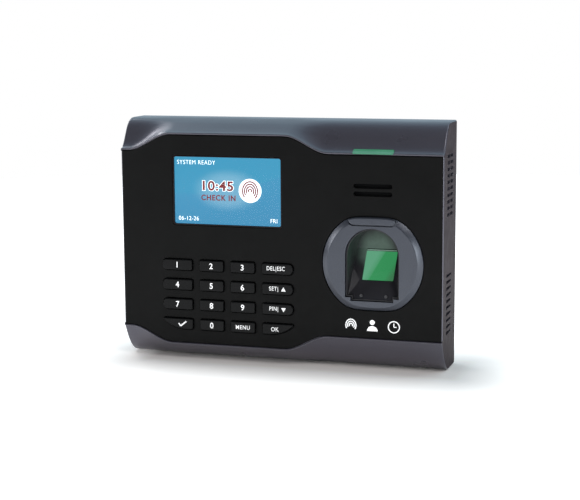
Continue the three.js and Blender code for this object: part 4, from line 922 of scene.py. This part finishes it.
shell = plate("sensor_cup", arch_outline(0.3), 0.1, 24.1)
inside = plate("inside", arch_outline(0.85), -2, 24.5)
low_z = ARCH_BOTTOM - TAB_DROP + 0.9
finger = sensor_slab("finger", [(-3, low_z), (1.2, low_z), (10.2, WINDOW[0][1] - 0.7), WINDOW[0],
                                WINDOW[1], (22.8, WINDOW[1][1]), (22.8, 84), (-3, 84)], 20)
boolean(inside, [finger], "INTERSECT")
optics = sensor_slab("optics", [WINDOW[0], (11.0, 43.8), (26, 43.8), (26, 67.0), (22.77, 67.0),
                                (9.0, 48.9)], 9.3)
screw_holes = [plate("hole", circle(SENSOR_X + s * SCREW_APART, SCREW_Z, 1.0, 24), -2, 3.2)
               for s in (-1, 1)]
boolean(shell, [inside, optics, *screw_holes])
bevel(shell, 0.22, 2, 50)
# slanted facets that narrow the lower corners of the recess
cheeks = []
for side in (-1, 1):
    corners = [(14.9, 1.6, 42.9), (10.2, 11.2, 50.2), (14.9, 14.0, 57.5), (14.9, 17.5, 46)]
    corners = [(SENSOR_X + side * x, put_y(d), z) for x, d, z in corners]
    cheeks.append(mesh_object("cheek", corners, [(0, 1, 2), (0, 3, 1), (1, 3, 2), (0, 2, 3)]))
shell = join([shell] + cheeks)
smooth(shell, 36)
add_piece(shell, CUP_BLACK_PAINTED_GLOW, replaces=["sensor_cup"])

GLASS_WIDTH = 18
glass = Nodes("lit_prism_painted_reflection").set(Roughness=0.08, Coat_Weight=0.8, Coat_Roughness=0.04, Specular_IOR_Level=0.5)
# The green glow is the sensor's own light; its shading, paler towards the upper left and darker towards the
# lower right, is a painted reflection on the glass.
place = glass.node("SeparateXYZ")
glass.wire(glass.coords, "Object", place, "Vector")
rise = glass.ramp(place, "Z", 0.0, 1.0, WINDOW[0][1] * MM, WINDOW[1][1] * MM)
across = glass.maths("MULTIPLY_ADD", place, "X", -1 / (GLASS_WIDTH * MM), SENSOR_X / GLASS_WIDTH + 0.5)
slant = glass.maths("MULTIPLY_ADD", rise, "Result", 0.45)
glass.wire(across, "Value", slant, 2)
shade = glass.node("ValToRGB")
stops = shade.color_ramp.elements
stops[0].position, stops[0].color = 0.1, srgb(58, 118, 76)
stops[1].position, stops[1].color = 1.0, srgb(98, 166, 130)
for position, colour in ((0.32, srgb(54, 145, 88)), (0.78, srgb(56, 147, 90)), (0.84, srgb(82, 158, 114))):
    stops.new(position).color = colour
glass.wire(slant, "Value", shade, "Fac")
glass.wire(shade, "Color", glass.shader, "Emission Color")
glass.set(Base_Color=srgb(14, 46, 26), Emission_Strength=0.92)
glass.bump(glass.noise(25, 1), 0.03, 0.05)
GLASS = glass.material
# A thin pale strip along the prism's top edge with a faint emission: a painted highlight where the edge
# catches the light.
PAINTED_EDGE_HIGHLIGHT = glow("painted_highlight_glass_edge", srgb(120, 150, 136), srgb(140, 166, 152), 0.5, 200, 0.5)
prism = sensor_slab("prism_block", [(11.3, 50.4), (24.77, 52.8), (22.47, 66.38)], GLASS_WIDTH / 2)
bevel(prism, 0.25, 2, 30)
smooth(prism, 30)
add_piece(prism, GLASS, replaces=["prism"])
edge_highlight_strip = sensor_slab("prism_edge_highlight", [(22.02, 66.05), (22.3, 66.5), (22.6, 66.5), (22.3, 66.05)], 8.6)
add_piece(edge_highlight_strip, PAINTED_EDGE_HIGHLIGHT)

# ---------------------------------------------------------------- printed signs at the lower right

SIGN_PITCH = 12.5
mark_z = 26.3
signs = print_arcs(SENSOR_X - SIGN_PITCH, mark_z - 0.2, (1.1, 2.3, 3.5), 0.85, 0.62, 4)
signs.append(circle(SENSOR_X, mark_z + 2.0, 1.45, 24))
signs.append([(SENSOR_X + 3.1 * math.cos(a), mark_z - 3.0 + 3.0 * math.sin(a))
              for a in [math.pi * i / 16 for i in range(17)]])
clock_x = SENSOR_X + SIGN_PITCH
rim = circle(clock_x, mark_z, 3.2, 40)
signs.append(ribbon_outline(rim + rim[:1], 0.62))
signs.append(ribbon_outline([(clock_x, mark_z + 2.1), (clock_x, mark_z)], 0.55))
signs.append(ribbon_outline([(clock_x, mark_z), (clock_x + 1.6, mark_z)], 0.55))
sign("printed_signs", signs, -0.02, PRINT_WHITE)

# ---------------------------------------------------------------- back: pressed wall plate and cable bay

COVER_BLACK = plastic("cover_black", srgb(38, 38, 40), srgb(48, 48, 50), (0.5, 0.66), 900, 0.06, 0.35, 0.5)
POWDER = plastic("powder_coat", srgb(50, 51, 54), srgb(60, 61, 64), (0.42, 0.54), 1100, 0.05, 0.4, 0.5)
LABEL = plastic("blank_label", srgb(176, 178, 181), srgb(190, 192, 195), (0.3, 0.42), 300, 0.01, 0.4)
WALL_PLANE = plate_high.y - DEPTH_SHIFT
SHEET, RIM = 1.2, 2.9
BAY_X, BAY_Z, BAY_W, BAY_H = -10, 67, 80, 34
BAY_FLOOR = 20.8
COVER_FRONT = REAR - 2.2


def keyhole_outline(x, z, radius=4.5, slot=2.3, length=8.0):
    """A round hole with a neck above it that ends in a half circle."""
    meet = math.acos(slot / radius)
    sweep = [math.pi - meet + i * (math.pi + 2 * meet) / 32 for i in range(33)]
    round_part = [(x + radius * math.cos(a), z + radius * math.sin(a)) for a in sweep]
    neck = [(x + slot * math.cos(i * math.pi / 12), z + length - slot + slot * math.sin(i * math.pi / 12))
            for i in range(13)]
    return round_part + neck


def wall_plate():
    """The pressed plate with its holes and beads, its four hooks and the lock screw's tab."""
    near, far = WALL_PLANE - SHEET + 0.3, COVER_FRONT - 0.3
    rim = rounded_box(plate_low.x, plate_high.x, plate_low.z, plate_high.z, [3] * 4, 8)
    sheet = plate("wall_plate_pressing", rim, WALL_PLANE - RIM, WALL_PLANE, edge=0.45, steps=4)
    cuts = [plate("dish", grown(rim, -SHEET), WALL_PLANE - RIM - 1, WALL_PLANE - SHEET)]
    boolean(sheet, cuts)
    holes = [even_box(BAY_X, BAY_Z, BAY_W + 4, BAY_H + 4, 3, 8)]
    holes += [keyhole_outline(x, z) for x in (-75, 75) for z in (32, 112)]
    holes += [circle(x, z, 2.1, 32) for x in (-86, 86) for z in (22, 72, 128)]
    holes += [even_box(x, z, 12, 4.2, 2.09, 8) for x in (-40, 30) for z in (24, 122)]
    beads = [even_box(BAY_X, z, 118, 6, 2.99, 10) for z in (98, 36)]
    beads += [even_box(x, 72, 6, 50, 2.99, 10) for x in (-62, 47)]
    beads += [circle(x, z, 10, 48) for x in (-75, 75) for z in (34, 114)]
    boolean(sheet, [plate("bead", ring, WALL_PLANE - 0.55, WALL_PLANE + 1) for ring in beads])
    boolean(sheet, [plate("hole", ring, WALL_PLANE - 3, WALL_PLANE + 1) for ring in holes])
    bevel(sheet, 0.22, 2, 50)
    parts = [sheet]
    for x in (-58, 58):
        for z in (26, 120):
            profile = [(near, z - SHEET), (near, z), (far, z), (far, z + 4), (far - SHEET, z + 4),
                       (far - SHEET, z - SHEET)]
            parts.append(slab("hook", profile, x - 5, x + 5))
    tab = block("tab", -12, 12, plate_low.y - DEPTH_SHIFT, near, plate_low.z, plate_low.z + SHEET)
    bore = [[(x, d, z) for x, d in circle(0, 26, 2.1, 32)] for z in (plate_low.z - 1, plate_low.z + 3)]
    boolean(tab, [loft("bore", bore)])
    bevel(tab, 0.2, 2, 50)
    parts.append(tab)
    return join(parts)


pressing = wall_plate()
smooth(pressing, 38)
add_piece(pressing, POWDER, replaces=["wall_plate"])

RIB_SEAT = BAY_FLOOR - 0.3
STRAP_LOW, STRAP_HIGH = 72, 76
ribs = [block("rib", BAY_X - 37, BAY_X + 37, RIB_SEAT, BAY_FLOOR + 0.8, z, z + 1.2) for z in (53.5, 57)]
for x in (BAY_X - 30, BAY_X + 30):
    for x0, x1 in ((x - 5.5, x - 3.5), (x + 3.5, x + 5.5)):
        ribs.append(block("strap_post", x0, x1, RIB_SEAT, BAY_FLOOR + 4.4, STRAP_LOW, STRAP_HIGH))
    ribs.append(block("strap_bar", x - 5.5, x + 5.5, BAY_FLOOR + 3.0, BAY_FLOOR + 4.6, STRAP_LOW, STRAP_HIGH))
for rib in ribs:
    bevel(rib, 0.25, 2)
ribs = join(ribs)
ribs.name = "bay_ribs"
smooth(ribs, 38)
add_piece(ribs, COVER_BLACK)
sticker = plate("bay_label", even_box(BAY_X, 68, 36, 15, 1.2), BAY_FLOOR - 0.1, BAY_FLOOR + 0.15, edge=0.05)
add_piece(sticker, LABEL)

# ---------------------------------------------------------------- finishes of the carried-over nodes

BOARD_GREEN = plastic("board_green", srgb(24, 82, 50), srgb(34, 98, 62), (0.3, 0.4), 700, 0.05, 0.5)
BRUSHED = (1, 12, 1)
steel = Nodes("plated_steel").set(Metallic=0.9)
steel.tint(steel.noise(90, 4), srgb(160, 163, 168), srgb(190, 192, 196))
steel.rough(steel.noise(900, 3, 0.6, BRUSHED), 0.25, 0.42)
steel.bump(steel.noise(900, 3, 0.6, BRUSHED), 0.08, 0.02)
SILVER = steel.material
PARTS_BLACK = plastic("parts_black", srgb(22, 22, 24), srgb(30, 30, 32), (0.5, 0.6), 900, 0.03, 0.3)
RUBBER = plastic("silicone_grey", srgb(66, 67, 72), srgb(80, 81, 86), (0.6, 0.75), 500, 0.04, 0.3)
WHITE = plastic("white_plastic", srgb(222, 222, 218), srgb(236, 236, 232), (0.4, 0.5), 900, 0.03, 0.4)
FILM = plastic("amber_film", srgb(168, 104, 38), srgb(190, 124, 52), (0.25, 0.35), 300, 0.02, 0.5)
WIRE = plastic("wire_red", srgb(150, 34, 28), srgb(172, 44, 36), (0.35, 0.45), 700, 0.02, 0.4)
cloth = Nodes("speaker_cloth").set(Roughness=0.9, Specular_IOR_Level=0.1)
weave = cloth.node("TexWave", Scale=900)
cloth.wire(cloth.coords, "Object", weave, "Vector")
cloth.tint(weave, srgb(8, 8, 9), srgb(20, 20, 21))
cloth.bump(weave, 0.5, 0.05)
CLOTH = cloth.material
LIGHT_BAR = glow("status_light", srgb(52, 120, 88), srgb(62, 132, 98), 0.3, 60, 0.4)
DULL_STEEL = plastic("dull_steel", srgb(48, 48, 52), srgb(62, 62, 66), (0.3, 0.4), 900, 0.02, 0.5)

finish_of = {
    "bright_steel": SILVER, "plate_steel": POWDER, "black_component": PARTS_BLACK, "speaker_cloth": CLOTH,
    "cone_paper": PARTS_BLACK, "white_plastic": WHITE, "flat_cable": WHITE, "orange_flex": FILM,
    "wire_insulation": WIRE, "circuit_board": BOARD_GREEN, "silicone": RUBBER, "light_pipe": LIGHT_BAR,
    "screen": SCREEN, "dark_plastic": COVER_BLACK, "housing_paint": PAINT, "fascia_black": FASCIA_BLACK,
    "key_plastic": KEY_BLACK, "sensor_plastic": SENSOR_PAINT, "prism_glass": GLASS,
}
slot_of = {s["node"]: s["material_slot"] for s in frame["record"]["subparts"]}
for name, node in frame["nodes"].items():
    material = DULL_STEEL if name.startswith("cup_screw") else finish_of.get(slot_of.get(name))
    if material:
        node.data.materials.clear()
        node.data.materials.append(material)

# ---------------------------------------------------------------- floor, light and camera

FLOOR_RADIUS, FLOOR_DROP = 1.1, 0.0002
floor_mesh = bpy.data.meshes.new("floor")
bm = bmesh.new()
bmesh.ops.create_circle(bm, cap_ends=True, segments=96, radius=FLOOR_RADIUS)
bm.to_mesh(floor_mesh)
bm.free()
floor = link(bpy.data.objects.new("floor", floor_mesh))
floor.location.z = -FLOOR_DROP
paper = Nodes("floor_paper").set(Roughness=0.9, Specular_IOR_Level=0.1, Emission_Color=(1, 1, 1, 1))
paper.tint(paper.noise(3, 2), (0.95, 0.9, 0.86, 1), (0.97, 0.92, 0.88, 1))

# The paper is lit from itself, less and less towards the terminal's footprint, which reads as a soft
# shadow. The steps give the distance in metres from a box of SHADE_HALF round SHADE_MIDDLE.
SHADE_MIDDLE, SHADE_HALF, SHADE_WIDTH = (0.012, 0, 0), (0.09, 0.02, 0), 0.064
last, output = paper.coords, "Object"
for operation, *amount in (("SUBTRACT", SHADE_MIDDLE), ("ABSOLUTE",), ("SUBTRACT", SHADE_HALF),
                           ("MAXIMUM", (0, 0, 0)), ("LENGTH",)):
    last, output = paper.maths(operation, last, output, *amount, kind="VectorMath"), "Vector"
fade = paper.ramp(last, "Value", 0.02, 0.95, 0.0, SHADE_WIDTH)
paper.wire(fade, "Result", paper.shader, "Emission Strength")
floor.data.materials.append(paper.material)

# White to the camera; to everything else a dark room that grows paler upwards and to the back.
world = bpy.data.worlds.new("studio")
bpy.context.scene.world = world
world.use_nodes = True
RISE_SHARE = 0.35
ROOM_DARK, ROOM_PALE = (0.045, 0.045, 0.055, 1), (0.44, 0.58, 0.68, 1)
studio = Tree(world.node_tree)
coords, split = studio.node("TexCoord"), studio.node("SeparateXYZ")
studio.wire(coords, "Generated", split, "Vector")
lean = studio.maths("MULTIPLY_ADD", split, "Z", RISE_SHARE)
studio.wire(split, "Y", lean, 2)
share = studio.ramp(lean, "Value", 0.0, 1.0, -1.0, 1.1)
shades = studio.node("ValToRGB")
shades.color_ramp.interpolation = "EASE"
for element, position, colour in zip(shades.color_ramp.elements, (0.28, 0.85), (ROOM_DARK, ROOM_PALE)):
    element.position, element.color = position, colour
studio.wire(share, "Result", shades, "Fac")
room = studio.node("Background", Strength=1.0)
studio.wire(shades, "Color", room, "Color")
pale = studio.node("Background", Color=(1, 1, 1, 1), Strength=1.0)
mix, path, out = studio.node("MixShader"), studio.node("LightPath"), studio.node("OutputWorld")
studio.wire(path, "Is Camera Ray", mix, "Fac")
studio.wire(room, "Background", mix, 1)
studio.wire(pale, "Background", mix, 2)
studio.wire(mix, "Shader", out, "Surface")


def area_light(name, position, target, width, height, power, colour=(1, 1, 1)):
    data = bpy.data.lights.new(name, "AREA")
    data.shape = "RECTANGLE"
    data.size, data.size_y = width, height
    data.energy = power
    data.color = colour
    obj = link(bpy.data.objects.new(name, data))
    obj.location = position
    obj.rotation_mode = "QUATERNION"
    obj.rotation_quaternion = (Vector(target) - Vector(position)).to_track_quat("-Z", "Y")
    return obj


# name, position, target, width, height, watts, colour; lengths in metres
area_light("overhead", (0.0, 0.5, 1.0), (0, 0.0, 0.05), 1.5, 0.8, 1.2, (0.6, 0.93, 1))
area_light("left_box", (-0.78, 0.45, 1.0), (0, 0, 0.1), 0.45, 0.35, 1.0)
area_light("left_glint", (-0.7, 0.62, 0.52), (-0.08, -0.017, 0.13), 0.2, 0.2, 1.3)
area_light("left_high", (-0.79, 0.2, 0.82), (-0.08, -0.017, 0.13), 0.2, 0.2, 0.8)
area_light("right_glint", (0.85, 0.3, 0.75), (0.095, -0.01, 0.13), 0.2, 0.2, 0.7, (0.85, 0.95, 1))
area_light("front_box", (0.62, -0.65, 0.95), (0, 0, 0.05), 0.5, 0.5, 4.6, (1, 0.98, 0.96))
area_light("left_key", (-0.9, -0.6, 0.3), (0.03, 0, 0.07), 0.24, 0.3, 2.6)
area_light("right_fill", (0.66, -0.84, 0.16), (0.08, 0, 0.06), 0.14, 0.3, 1.9, (0.9, 0.97, 1))

bpy.context.scene.view_settings.view_transform = "Standard"
bpy.context.scene.view_settings.look = "None"
FOCAL_LENGTH, SENSOR_WIDTH = 90.49, 36
AIM = (7.47, 67.7)
camera_data = bpy.data.cameras.new("camera")
camera_data.lens = FOCAL_LENGTH
camera_data.sensor_width = SENSOR_WIDTH
camera_data.sensor_fit = "HORIZONTAL"
camera = link(bpy.data.objects.new("camera", camera_data))
AZIMUTH, ELEVATION, ROLL = math.radians(17.758), math.radians(8.728), math.radians(-0.317)
DISTANCE = 0.83133
back = Vector((math.sin(AZIMUTH) * math.cos(ELEVATION), -math.cos(AZIMUTH) * math.cos(ELEVATION),
               math.sin(ELEVATION)))
right_axis = Vector((math.cos(AZIMUTH), math.sin(AZIMUTH), 0))
up_axis = back.cross(right_axis)
x_axis = math.cos(ROLL) * right_axis + math.sin(ROLL) * up_axis
y_axis = -math.sin(ROLL) * right_axis + math.cos(ROLL) * up_axis
aim = Vector((AIM[0] * MM, put_y(0) * MM, AIM[1] * MM))
turn = Matrix((x_axis, y_axis, back)).transposed()
camera.matrix_world = Matrix.Translation(aim + back * DISTANCE) @ turn.to_4x4()
camera_data.clip_start, camera_data.clip_end = 0.01, 30
bpy.context.scene.camera = camera
